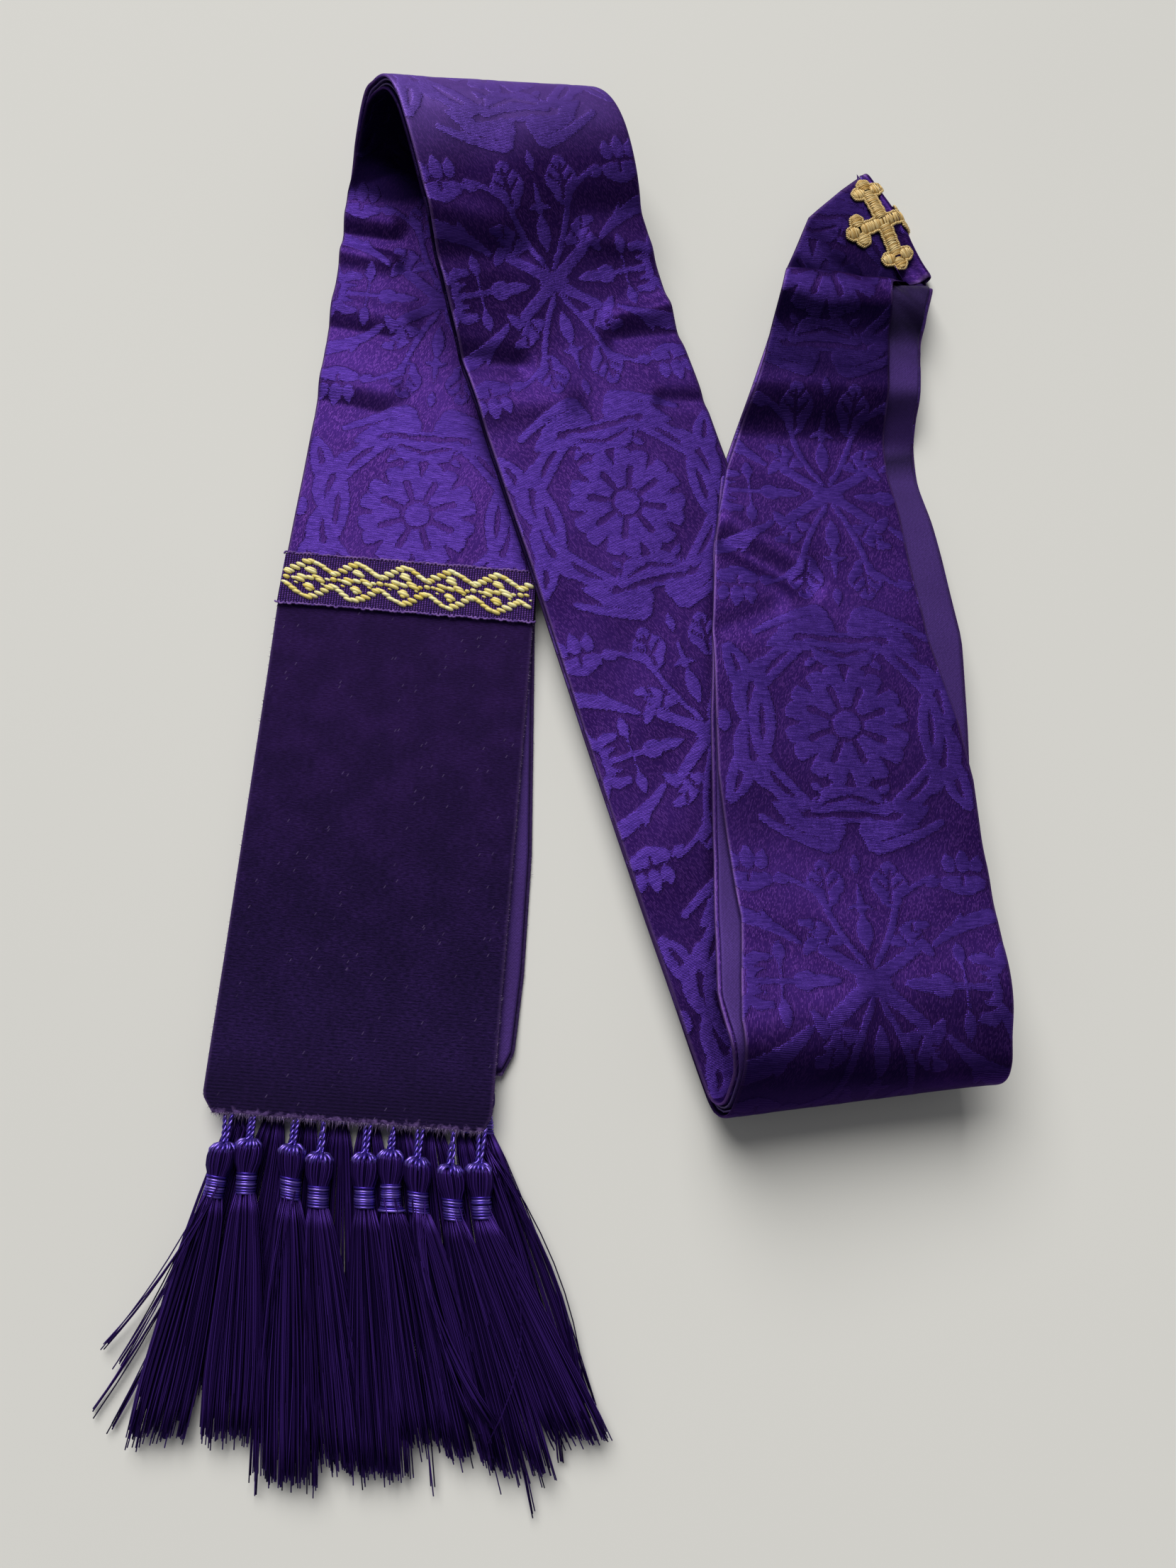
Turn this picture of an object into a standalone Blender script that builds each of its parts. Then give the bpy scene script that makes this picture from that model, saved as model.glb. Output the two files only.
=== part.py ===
"""A clerical stole, folded in three and laid flat on a table.

The stole has two equal halves, A and B, sewn together at the neck. They lie one on the other, and
both follow one middle surface: a strip that starts at the hems, lies flat, turns back over itself
in an open loop, comes down again, turns once more and ends at the neck. Half A is on the strip's
upper side at the hems and half B on its under side. A point is given by its place t along the
strip, its distance w across it and its height h off the middle surface, all in millimetres, and
every crease runs straight across the strip at a slant that changes along it.

+X is to the right, +Y from the hems to the neck and +Z up. The origin is the middle of the
bounding box's foot.
"""
import math

import bmesh
import bpy
import numpy as np

for old in list(bpy.data.objects):
    bpy.data.objects.remove(old, do_unlink=True)

MM = 0.001

# ---- Driving dimensions, in millimetres and degrees ----

HEM_AT = (-91.2, -170.0)      # middle of half A's hem
HEM_HEADING = 85.6            # direction of the strip there, from +X
TABLE_TO_MIDDLE = 3.5         # height of the middle surface where the stole lies flat

FOLDS = (
    # stretch,               length, turn, slant of the creases at its end
    ("flat on the table",       300,   0.0,   0.0),
    ("run-up to the loop",      131,   0.0,  25.5),
    ("loop, rising",             17,  69.5,  18.0),
    ("loop, top",                29,  59.0,   1.5),
    ("loop, coming back",        35,  63.5,  13.0),
    ("loop, leaving",            37,  19.0, -10.5),
    ("ramp, top",                67, -29.0, -20.5),
    ("ramp, upper half",        112,  -2.0, -23.0),
    ("ramp, lower half",        111,  -2.5, -14.0),
    ("ramp, foot",               88,   1.0,   3.5),
    ("bottom fold, rising",      19, -71.5,  14.5),
    ("bottom fold, front",       21, -88.0,   2.5),
    ("bottom fold, over",        28, -41.0,  16.5),
    ("top stretch, sagging",     70,  23.0,  -8.0),
    ("top stretch, middle",     107, -10.5,   4.0),
    ("top stretch, level",       75,   9.5,  -8.0),
    ("shoulder",                 70,  -6.5, -37.0),
    ("neck",                     41,   8.0, -49.5),
    ("neck, up to its edge",     64,  -1.5, -61.0),
)
NECK_BEND = 2.3               # half the thickness of the bend where half B turns over the neck's edge

SWELLS = (
    # what lifts the cloth,      at, height, reach
    ("the other half's tassels",  0,    3.0,    60),
    ("the galloons",            238,    1.4,    80),
    ("first ripple",           1287,    2.0,    34),
    ("second ripple",          1314,    1.3,    14),
    ("third ripple",           1338,    1.0,    12),
)

CUT_A = (
    # from the hem, left edge, right edge
    (0,    -49.0, 52.0),
    (6,    -53.5, 55.0),
    (50,   -54.0, 54.5),
    (205,  -53.5, 53.5),
    (290,  -50.0, 51.0),
    (400,  -49.0, 49.5),
    (700,  -49.0, 49.5),
    (850,  -50.5, 50.5),
    (980,  -50.0, 50.5),
    (1040, -50.0, 53.0),
    (1080, -52.5, 50.5),
    (1105, -53.0, 46.0),
    (1140, -53.0, 37.0),
    (1172, -51.0, 33.0),
    (1195, -48.5, 31.0),
    (1220, -43.0, 29.0),
    (1250, -33.0, 28.0),
    (1270, -27.0, 28.5),
    (1308, -18.5, 31.0),
    (1318, -15.0, 41.2),
    (1350,  -2.0, 30.8),
    (1366,  14.0, 25.6),
    (1373,  22.0, 23.4),
)
CUT_B = (
    (21,   -45.0, 57.0),
    (30,   -50.0, 61.0),
    (60,   -48.0, 62.0),
    (108,  -48.0, 61.0),
    (150,  -49.0, 58.0),
    (205,  -50.5, 54.0),
    (290,  -50.0, 50.0),
    (500,  -49.0, 49.5),
    (700,  -48.5, 49.0),
    (850,  -50.5, 50.5),
    (930,  -50.5, 50.0),
    (1040, -54.0, 49.5),
    (1105, -54.0, 52.0),
    (1143, -52.0, 53.0),
    (1181, -50.0, 49.0),
    (1220, -44.5, 44.0),
    (1250, -34.5, 43.0),
    (1282, -24.0, 45.5),
    (1297, -20.0, 48.5),
    (1320, -13.0, 54.5),
    (1350,  -1.0, 54.5),
    (1366,  15.0, 54.5),
    (1378,  25.0, 54.5),
)
SEAM_AT_APEX = 3.0            # from the neck's edge to the neck seam, at its two ends
SEAM_AT_CORNER = 14.5
APEX = 25.5                   # the two ends of the neck's edge, across the strip
CORNER = 54.0

GAP = 0.3                     # between pieces that are sewn together
LINING = (0.4, 1.4)           # heights of the layers off the middle surface
FRONT = (1.7, 2.9)
VELVET = (1.7, 3.5)
GALLOON = (3.8, 4.8)
CROSS = (3.2, 4.4)
VELVET_LENGTH = 212.0         # from each half's hem
GALLOON_FROM = 204.5
GALLOON_WIDTH = 22.5
HEM_STEP = 21.0               # half B's hem lies this much higher than half A's
LINING_INSET = 1.5            # the lining stops this much short of the edges

FACET_TURN = 11.0             # one row of facets for this much turn
FACET_RUN = 24.0              # or for this much length
SWELL_RUN = 7.0               # or for this much length on a swell
COLUMNS = 2


# ---- The strip ----

def trace_strip():
    """Samples of the strip's middle line and of its three directions, a millimetre apart."""
    heading = math.radians(HEM_HEADING)
    along = np.array([math.cos(heading), math.sin(heading), 0.0])
    across = np.array([math.sin(heading), -math.cos(heading), 0.0])
    off = np.array([0.0, 0.0, 1.0])
    point = np.array([HEM_AT[0], HEM_AT[1], TABLE_TO_MIDDLE])
    samples = [(0.0, *point, *along, *across, *off, 0.0)]
    t = 0.0
    slant_before = 0.0
    for _, length, turn, slant_after in FOLDS:
        step_turn = math.radians(turn) / length
        for step in range(length):
            part = (step + 0.5) / length
            slant = math.radians(slant_before + (slant_after - slant_before) * part)
            crease = math.cos(slant) * across + math.sin(slant) * along

            def turned(vector, angle):
                """The vector turned about the crease."""
                straight = crease * crease.dot(vector) * (1 - math.cos(angle))
                return vector * math.cos(angle) + np.cross(crease, vector) * math.sin(angle) + straight

            point = point + turned(along, step_turn / 2)
            along, across, off = (turned(v, step_turn) for v in (along, across, off))
            t += 1.0
            slant = slant_before + (slant_after - slant_before) * (step + 1) / length
            samples.append((t, *point, *along, *across, *off, math.radians(slant)))
        slant_before = slant_after
    return np.array(samples)


STRIP = trace_strip()
END = STRIP[-1, 0]            # where the neck's edge is


def swell(t):
    """How far the cloth is lifted off the middle surface at t."""
    lift = 0.0
    for _, centre, height, reach in SWELLS:
        away = min(abs(t - centre) / reach, 1.0)
        lift += height * (0.5 + 0.5 * math.cos(math.pi * away))
    return lift


def slant_at(t):
    return float(np.interp(t, STRIP[:, 0], STRIP[:, 13]))


def place(t, w, h):
    """The point on the crease at t, w across the strip and h off it. Past the neck's edge the
    cloth turns over that edge and comes back on the other side."""
    slant = slant_at(t)
    past = max(t - END, 0.0) * math.cos(slant)
    values = [float(np.interp(t, STRIP[:, 0], STRIP[:, column])) for column in range(1, 13)]
    point, along, across, off = (np.array(values[i:i + 3]) for i in (0, 3, 6, 9))
    crease = math.cos(slant) * across + math.sin(slant) * along
    outward = math.cos(slant) * along - math.sin(slant) * across
    if t < 0:
        point = point + along * t
    angle = min(past / NECK_BEND, math.pi)
    back = max(past - math.pi * NECK_BEND, 0.0)
    run = (w + past * math.sin(slant)) / math.cos(slant)
    spot = point + crease * run + outward * (abs(h) * math.sin(angle) - back)
    return (spot + off * (h * math.cos(angle) + swell(t))) * MM


def cut_edges(cut, t):
    """Where the crease at t meets the left and the right edge of a half."""
    table = np.array(cut)
    slope = math.tan(slant_at(t))
    edges = []
    for side in (1, 2):
        w = 0.0
        for _ in range(60):
            w += 0.5 * (float(np.interp(t + w * slope, table[:, 0], table[:, side])) - w)
        edges.append(w)
    return edges


def crease_stops(start, finish, extra=()):
    """Places of the rows of facets between start and finish."""
    turns = {}
    t = 0.0
    for _, length, turn, _ in FOLDS:
        turns[(t, t + length)] = abs(turn) / length
        t += length

    def need(at):
        bend = next((rate for (low, high), rate in turns.items() if low <= at < high), 0.0)
        on_swell = any(abs(at - centre) < reach for _, centre, _, reach in SWELLS)
        return bend / FACET_TURN + 1.0 / (SWELL_RUN if on_swell else FACET_RUN)

    steps = np.arange(start, finish, 1.0)
    total = np.concatenate([[0.0], np.cumsum([need(at) for at in steps])])
    count = max(1, math.ceil(total[-1]))
    stops = np.interp(np.linspace(0, total[-1], count + 1), total, [*steps, finish])
    return sorted({round(float(t), 2) for t in (*stops, *extra)})


def panel_rows(cut, start, finish, inset=0.0):
    """Rows of a panel: for each crease its place and where it meets the two edges."""
    rows = []
    for t in crease_stops(start, finish):
        left, right = cut_edges(cut, t)
        if right - left > 4 * inset + 1.0:
            rows.append(((t, left + inset), (t, right - inset)))
    return rows


def neck_turnover():
    """Rows of half B's front past the neck's edge, round it and back to the neck seam."""
    slant = slant_at(END)
    bend = math.pi * NECK_BEND
    rows = []
    for step in range(0, 7):
        past = bend * step / 6
        rows.append((past, past))
    rows.append((bend + SEAM_AT_APEX - GAP, bend + SEAM_AT_CORNER - GAP))
    flat = []
    for apex_past, corner_past in rows:
        ends = []
        for past, foot in ((apex_past, APEX), (corner_past, CORNER)):
            ends.append((END + past / math.cos(slant), foot - past * math.sin(slant)))
        flat.append(tuple(ends))
    return flat


# ---- Tools ----

stole = bpy.data.collections.new("clerical_stole")
bpy.context.scene.collection.children.link(stole)


def finish_material(name, colour, roughness, metallic=0.0):
    material = bpy.data.materials.new(name)
    material.use_nodes = True
    shader = material.node_tree.nodes["Principled BSDF"]
    shader.inputs["Base Color"].default_value = (*colour, 1.0)
    shader.inputs["Roughness"].default_value = roughness
    shader.inputs["Metallic"].default_value = metallic
    return material


def add_object(name, bm, material):
    bmesh.ops.recalc_face_normals(bm, faces=bm.faces)
    mesh = bpy.data.meshes.new(name)
    bm.to_mesh(mesh)
    bm.free()
    mesh.materials.append(material)
    piece = bpy.data.objects.new(name, mesh)
    stole.objects.link(piece)
    mesh.shade_smooth()
    mesh.set_sharp_from_angle(angle=math.radians(35))
    return piece


def cloth_wall(name, rows, layer, side, material, columns=COLUMNS):
    """A wall of cloth over the rows of a panel, between the two heights of its layer."""
    bm = bmesh.new()
    last = len(rows) - 1
    bmesh.ops.create_grid(bm, x_segments=columns, y_segments=last, size=1.0)
    under = set(bm.verts)
    bmesh.ops.extrude_face_region(bm, geom=bm.faces[:], use_keep_orig=True)
    for vert in bm.verts:
        across = (vert.co.x + 1) / 2
        (t0, w0), (t1, w1) = rows[round((vert.co.y + 1) / 2 * last)]
        height = layer[0] if vert in under else layer[1]
        vert.co = place(t0 + (t1 - t0) * across, w0 + (w1 - w0) * across, side * height)
    bmesh.ops.triangulate(bm, faces=bm.faces, quad_method="FIXED")
    return add_object(name, bm, material)


# ---- The two halves ----

damask = finish_material("purple damask", (0.09, 0.03, 0.30), 0.45)
cotton = finish_material("purple cotton lining", (0.07, 0.03, 0.16), 0.85)
pile = finish_material("dark purple velvet", (0.02, 0.006, 0.065), 0.95)
braid = finish_material("gold and purple galloon", (0.55, 0.42, 0.12), 0.5)
gold = finish_material("gold embroidery thread", (0.60, 0.42, 0.16), 0.4)
silk = finish_material("purple silk tassels", (0.05, 0.015, 0.20), 0.35)

for half, side, cut, hem in (("a", 1, CUT_A, 0.0), ("b", -1, CUT_B, HEM_STEP)):
    velvet_top = hem + VELVET_LENGTH
    galloon_foot = hem + GALLOON_FROM
    galloon_top = galloon_foot + GALLOON_WIDTH
    front_rows = panel_rows(cut, velvet_top + GAP, END - 9.0)
    if half == "b":
        front_rows += neck_turnover()
    lining_rows = panel_rows(cut, hem + LINING_INSET, END - 14.0, LINING_INSET)
    cloth_wall(f"front_{half}", front_rows, FRONT, side, damask)
    cloth_wall(f"lining_{half}", lining_rows, LINING, side, cotton)
    cloth_wall(f"velvet_{half}", panel_rows(cut, hem, velvet_top), VELVET, side, pile)
    cloth_wall(f"galloon_{half}", panel_rows(cut, galloon_foot, galloon_top), GALLOON, side, braid)


# ---- The cross over the neck seam ----

CROSS_AT = (1349.0, 32.5)     # its centre, from the hem and across
CROSS_TILT = 24.0             # its upright leans this much to the left of the strip's direction
ARM = 23.5                    # from the centre to the tip of the upright and of the bar
SIDE_ARM = 18.0
ARM_HALF = 2.9
LOBE = 3.1                    # radius of each lobe
LOBE_AWAY = 4.3               # of a side lobe's centre from the arm's middle line
LOBES_BACK = 5.8              # of the point between the lobes from the tip
BUD_SWEEP = 140.0
BUD_STEPS = 12
SNAP = 0.35                    # a cut passes through a corner that is this near


def bud(reach):
    """The outer edge of the three round lobes at an arm's end, one point for each direction seen
    from between them."""
    middle = reach - LOBES_BACK
    lobes = ((reach - LOBE, 0.0), (middle - 0.7, -LOBE_AWAY), (middle - 0.7, LOBE_AWAY))
    points = []
    for step in range(BUD_STEPS + 1):
        angle = math.radians(BUD_SWEEP * (2 * step / BUD_STEPS - 1))
        x, y = math.cos(angle), math.sin(angle)
        reaches = [0.0]
        for lobe_x, lobe_y in lobes:
            ahead = (lobe_x - middle) * x + lobe_y * y
            missed_by = (lobe_x - middle) * y - lobe_y * x
            if abs(missed_by) < LOBE:
                reaches.append(ahead + math.sqrt(LOBE ** 2 - missed_by ** 2))
        points.append((middle + max(reaches) * x, max(reaches) * y))
    return points


def cross_outline():
    """A cross whose four arms each end in a bud of three lobes."""
    outline = []
    for quarter, reach in enumerate((SIDE_ARM, ARM, SIDE_ARM, ARM)):
        turn = math.radians(90 * quarter)
        for x, y in [(ARM_HALF, -ARM_HALF), *bud(reach)]:
            outline.append((x * math.cos(turn) - y * math.sin(turn), x * math.sin(turn) + y * math.cos(turn)))
    return outline


def add_cross():
    """The outline cut into strips along the neck's edge, laid over the cloth and thickened."""
    bm = bmesh.new()
    lean = math.radians(90 + CROSS_TILT)
    slant = slant_at(END)
    corners = []
    for x, y in cross_outline():
        s = CROSS_AT[0] + x * math.cos(lean) * -1 + y * math.sin(lean)
        w = CROSS_AT[1] + x * math.sin(lean) + y * math.cos(lean)
        corners.append(bm.verts.new((w, s, 0.0)))
    bm.faces.new(corners).normal_update()
    bmesh.ops.triangulate(bm, faces=bm.faces)
    edge_normal = (-math.sin(slant), math.cos(slant), 0.0)
    for past in (-16, -8, 0, 1.2, 2.4, 3.6, 4.8, 6.0, 7.2):
        on_edge = (past * -math.sin(slant), END + past * math.cos(slant), 0.0)
        geometry = bm.verts[:] + bm.edges[:] + bm.faces[:]
        bmesh.ops.bisect_plane(bm, geom=geometry, plane_co=on_edge, plane_no=edge_normal, dist=SNAP)
    bmesh.ops.triangulate(bm, faces=bm.faces)
    under = set(bm.verts)
    bmesh.ops.extrude_face_region(bm, geom=bm.faces[:], use_keep_orig=True)
    for vert in bm.verts:
        w, s = vert.co.x, vert.co.y
        t = s
        for _ in range(60):
            t += 0.5 * (s - w * math.tan(slant_at(t)) - t)
        vert.co = place(t, w, CROSS[0] if vert in under else CROSS[1])
    return add_object("neck_cross", bm, gold)


add_cross()


# ---- The tassels ----

TASSELS_A = (
    # head, binding and foot across the hem, and how far the foot reaches below it
    (-43.0, -44.0, -47.0, 110.0),
    (-34.0, -32.0, -22.0, 109.0),
    (-18.0, -16.5,  -4.5, 121.0),
    ( -7.5,  -6.0,  13.0, 115.0),
    (  9.0,  11.0,  27.0, 117.0),
    ( 18.5,  20.5,  43.0, 106.0),
    ( 28.5,  31.0,  61.0, 109.0),
    ( 41.0,  44.0,  78.0, 113.0),
    ( 51.5,  54.5,  97.0, 101.0),
)
TASSELS_B = (
    (-38.0, -39.0, -52.0,  97.0),
    (-26.5, -27.0, -34.0,  94.0),
    (-15.0, -15.0, -15.0,  98.0),
    ( -3.5,  -3.0,   3.0,  96.0),
    (  8.0,   8.5,  21.0,  99.0),
    ( 19.5,  20.5,  39.0,  95.0),
    ( 31.0,  32.5,  57.0,  98.0),
    ( 42.5,  44.5,  74.0,  93.0),
    ( 54.0,  56.0,  90.0,  90.0),
)
TASSEL_GAP = 0.3
RING_SIDES = 8
STATIONS = (
    # name,          below its start, half width, half height, drop of its middle to the foot's height
    ("cord",                     0.0, 1.3, 1.3, 0.00),
    ("cord at the head",         7.0, 1.3, 1.3, 0.02),
    ("head, shoulder",           8.5, 3.3, 3.1, 0.05),
    ("head, widest",            13.0, 4.2, 4.1, 0.12),
    ("head, foot",              18.0, 3.2, 3.2, 0.22),
    ("binding, top",            20.0, 3.0, 3.0, 0.27),
    ("binding, foot",           26.0, 3.2, 3.0, 0.42),
    ("skirt, first",            34.0, 4.6, 3.0, 0.62),
    ("skirt, second",           52.0, 7.0, 2.8, 0.86),
    ("skirt, third",            76.0, 9.5, 2.6, 1.00),
)


def hem_point(across, below, height):
    """A point below the hems, from its distance across and below half A's hem and its height."""
    heading = math.radians(HEM_HEADING)
    x = HEM_AT[0] + across * math.sin(heading) - below * math.cos(heading)
    y = HEM_AT[1] - across * math.cos(heading) - below * math.sin(heading)
    return (x * MM, y * MM, height * MM)


def centre_across(row, below, start):
    """Where a tassel's middle line is, at a distance below half A's hem."""
    head, binding, foot, reach = row
    if below > start + 26.0:
        return binding + (foot - binding) * (below - start - 26.0) / (reach - start - 26.0)
    return float(np.interp(below, (start + 8.5, start + 26.0), (head, binding)))


def add_tassel(name, rows, number, start, heights, squeeze):
    """One tassel: cord, head, binding and skirt in one turned and flattened solid."""
    row = rows[number]
    reach = row[3]
    bm = bmesh.new()
    rings = []
    for _, along, half_width, half_height, drop in (*STATIONS, ("foot", reach - start, 10.5, 2.3, 1.0)):
        below = start + along
        middle = centre_across(row, below, start)
        left, right = middle - half_width, middle + half_width
        if number > 0:
            beside = centre_across(rows[number - 1], below, start)
            left = max(left, (beside + middle) / 2 + TASSEL_GAP / 2)
        if number < len(rows) - 1:
            beside = centre_across(rows[number + 1], below, start)
            right = min(right, (beside + middle) / 2 - TASSEL_GAP / 2)
        level = heights[0] + (heights[1] - heights[0]) * drop
        ring = []
        for side in range(RING_SIDES):
            angle = 2 * math.pi * side / RING_SIDES
            across = (left + right) / 2 + (right - left) / 2 * math.cos(angle)
            height = level + half_height * squeeze * math.sin(angle)
            ring.append(bm.verts.new(hem_point(across, below, height)))
        rings.append(ring)
    for upper, lower in zip(rings, rings[1:]):
        for side in range(RING_SIDES):
            after = (side + 1) % RING_SIDES
            bm.faces.new((upper[side], upper[after], lower[after], lower[side]))
    bm.faces.new(rings[0])
    bm.faces.new(rings[-1])
    bmesh.ops.triangulate(bm, faces=bm.faces)
    return add_object(name, bm, silk)


A_HEIGHTS = (8.4, 6.4)        # middle of the A tassels at their cords and at their feet
B_HEIGHTS = (2.8, 1.9)

for number in range(len(TASSELS_A)):
    add_tassel(f"tassel_a_{number + 1}", TASSELS_A, number, GAP, A_HEIGHTS, 1.0)
    add_tassel(f"tassel_b_{number + 1}", TASSELS_B, number, GAP - HEM_STEP, B_HEIGHTS, 0.62)
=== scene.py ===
"""Looks of a clerical stole, folded in three and lying on a table: purple silk damask on a plain
cotton lining, with velvet ends, a woven galloon, silk tassels and a cross embroidered over the neck.

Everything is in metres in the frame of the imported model. Sizes are written in millimetres and
multiplied by MM where a mesh is made.
"""
import math

import bpy
import numpy as np
from mathutils import Matrix, Vector


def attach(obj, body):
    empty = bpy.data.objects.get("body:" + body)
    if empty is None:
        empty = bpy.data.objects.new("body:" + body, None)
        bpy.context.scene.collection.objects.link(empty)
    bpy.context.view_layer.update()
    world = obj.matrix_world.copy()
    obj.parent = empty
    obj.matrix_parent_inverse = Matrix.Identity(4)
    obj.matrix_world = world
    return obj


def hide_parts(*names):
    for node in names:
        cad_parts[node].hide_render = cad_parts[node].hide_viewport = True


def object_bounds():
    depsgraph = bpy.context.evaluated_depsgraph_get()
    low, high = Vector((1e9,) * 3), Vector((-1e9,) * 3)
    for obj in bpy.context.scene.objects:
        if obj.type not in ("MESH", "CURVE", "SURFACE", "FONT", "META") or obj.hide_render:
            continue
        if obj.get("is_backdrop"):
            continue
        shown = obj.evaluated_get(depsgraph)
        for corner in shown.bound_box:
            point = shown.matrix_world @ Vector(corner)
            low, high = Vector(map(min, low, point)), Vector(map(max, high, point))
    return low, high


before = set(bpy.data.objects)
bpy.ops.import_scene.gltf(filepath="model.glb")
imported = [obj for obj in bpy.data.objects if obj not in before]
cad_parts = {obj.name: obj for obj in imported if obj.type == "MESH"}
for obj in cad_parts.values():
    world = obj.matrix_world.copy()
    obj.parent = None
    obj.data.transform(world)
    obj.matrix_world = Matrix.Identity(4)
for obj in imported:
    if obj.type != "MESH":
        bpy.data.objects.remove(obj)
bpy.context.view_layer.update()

MM = 0.001


# ------------------------------------------------------------------------------
# The camera stands above the table's near side and looks almost straight down. Its film is set
# so that a normal lens gives a picture 1659 wide and 2212 high.
PICTURE = (1659, 2212)
FOCUS = 1662                  # focal length in pixels of that picture
LENS = 26.0                   # and in millimetres
CAMERA_TILT = 14.5            # degrees from straight down
CAMERA_ROLL = 7.1
CAMERA_AT = (-14.3, -157.3, 468.1)

lens = bpy.data.cameras.new("camera")
lens.sensor_fit = "VERTICAL"
lens.lens = LENS
lens.sensor_height = lens.sensor_width = LENS * PICTURE[1] / FOCUS
lens.clip_start = 0.01
camera = bpy.data.objects.new("camera", lens)
bpy.context.scene.collection.objects.link(camera)
roll = math.radians(CAMERA_ROLL)
facing = Matrix.Rotation(-roll, 4, "Z") @ Matrix.Rotation(math.radians(CAMERA_TILT), 4, "X")
camera.matrix_world = Matrix.Translation(Vector(CAMERA_AT) * MM) @ facing @ Matrix.Rotation(roll, 4, "Z")
bpy.context.scene.camera = camera


# ------------------------------------------------------------------------------
# The table and the light. A plain pale table top under broad daylight, which comes from beyond
# the neck end and a little from the left, so that slopes facing the hems stay dark.
TABLE_HALF = 2.6              # half its side, in metres
DAYLIGHT_FROM = (-0.25, 1.0)  # its direction in plan
DAYLIGHT_HEIGHT = 47.0        # degrees above the table
DAYLIGHT_SPREAD = 46.0        # degrees across, as of a tall window
DAYLIGHT = 2.85               # watts on a square metre that faces it
ROOM_LIGHT = 0.17             # what the walls throw back
# for each kind of node, the setting that a second word in its kind gives
ONE_SETTING = {"Math": "operation", "VectorMath": "operation", "MapRange": "interpolation_type",
               "Attribute": "attribute_name", "TexWhiteNoise": "noise_dimensions", "UVMap": "uv_map"}


def linear(colour):
    """An sRGB hex colour as linear red, green, blue and alpha."""
    parts = [int(colour[i:i + 2], 16) / 255 for i in (1, 3, 5)]
    return (*(p / 12.92 if p <= 0.04045 else ((p + 0.055) / 1.055) ** 2.4 for p in parts), 1.0)


def new_material(name):
    """A material with an empty tree, and the function that adds a node to it."""
    material = bpy.data.materials.new(name)
    material.use_nodes = True
    tree = material.node_tree
    tree.nodes.clear()

    def node(kind, inputs=(), out=0):
        """Adds a node, fills its inputs from numbers or sockets, in order or by name, and returns
        one of its outputs. A second word in its kind is the node's one setting."""
        kind, *setting = kind.split()
        made = tree.nodes.new("ShaderNode" + kind)
        if setting:
            setattr(made, ONE_SETTING[kind], setting[0])
        for socket, value in inputs.items() if isinstance(inputs, dict) else enumerate(inputs):
            if isinstance(value, bpy.types.NodeSocket):
                tree.links.new(value, made.inputs[socket])
            else:
                made.inputs[socket].default_value = value
        return made.outputs[out] if made.outputs else made

    return material, node


def dressed(name, mesh, material, stored):
    """The mesh's object, put in the scene with its material and with values at its points."""
    for kind, values in stored.items():
        layer = mesh.attributes.new(kind, "FLOAT", "POINT")
        layer.data.foreach_set("value", values.astype(np.float32).ravel())
    mesh.materials.append(material)
    mesh.shade_smooth()
    piece = bpy.data.objects.new(name, mesh)
    bpy.context.scene.collection.objects.link(piece)
    return piece


# Matt paint: an even pale grey, mottled so faintly that it only keeps the board from looking flat.
painted_board, node = new_material("matt painted table top")
mottle = node("TexNoise", {"Scale": 9.0, "Detail": 3.0})
board_colour = node("MixRGB", (mottle, linear("#E2E2DF"), linear("#E9E9E6")))
surface = node("BsdfPrincipled", {"Base Color": board_colour, "Roughness": 0.7})
node("OutputMaterial", (surface,))

table_mesh = bpy.data.meshes.new("table_top")
corners = [(x * TABLE_HALF, y * TABLE_HALF, 0.0) for x, y in ((-1, -1), (1, -1), (1, 1), (-1, 1))]
table_mesh.from_pydata(corners, [], [(0, 1, 2, 3)])
dressed("table_top", table_mesh, painted_board, {})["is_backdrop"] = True

daylight = bpy.data.lights.new("daylight", "SUN")
daylight.energy = DAYLIGHT
daylight.angle = math.radians(DAYLIGHT_SPREAD)
daylight.color = linear("#FFFDF8")[:3]
window = bpy.data.objects.new("daylight", daylight)
bpy.context.scene.collection.objects.link(window)
rise = math.tan(math.radians(DAYLIGHT_HEIGHT)) * math.hypot(*DAYLIGHT_FROM)
window.rotation_mode = "QUATERNION"
window.rotation_quaternion = Vector((*DAYLIGHT_FROM, rise)).to_track_quat("Z", "Y")

world = bpy.data.worlds.new("room")
bpy.context.scene.world = world
world.use_nodes = True
background = world.node_tree.nodes["Background"]
background.inputs["Color"].default_value = linear("#F2F2F4")
background.inputs["Strength"].default_value = ROOM_LIGHT
bpy.context.scene.view_settings.view_transform = "Standard"


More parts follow.
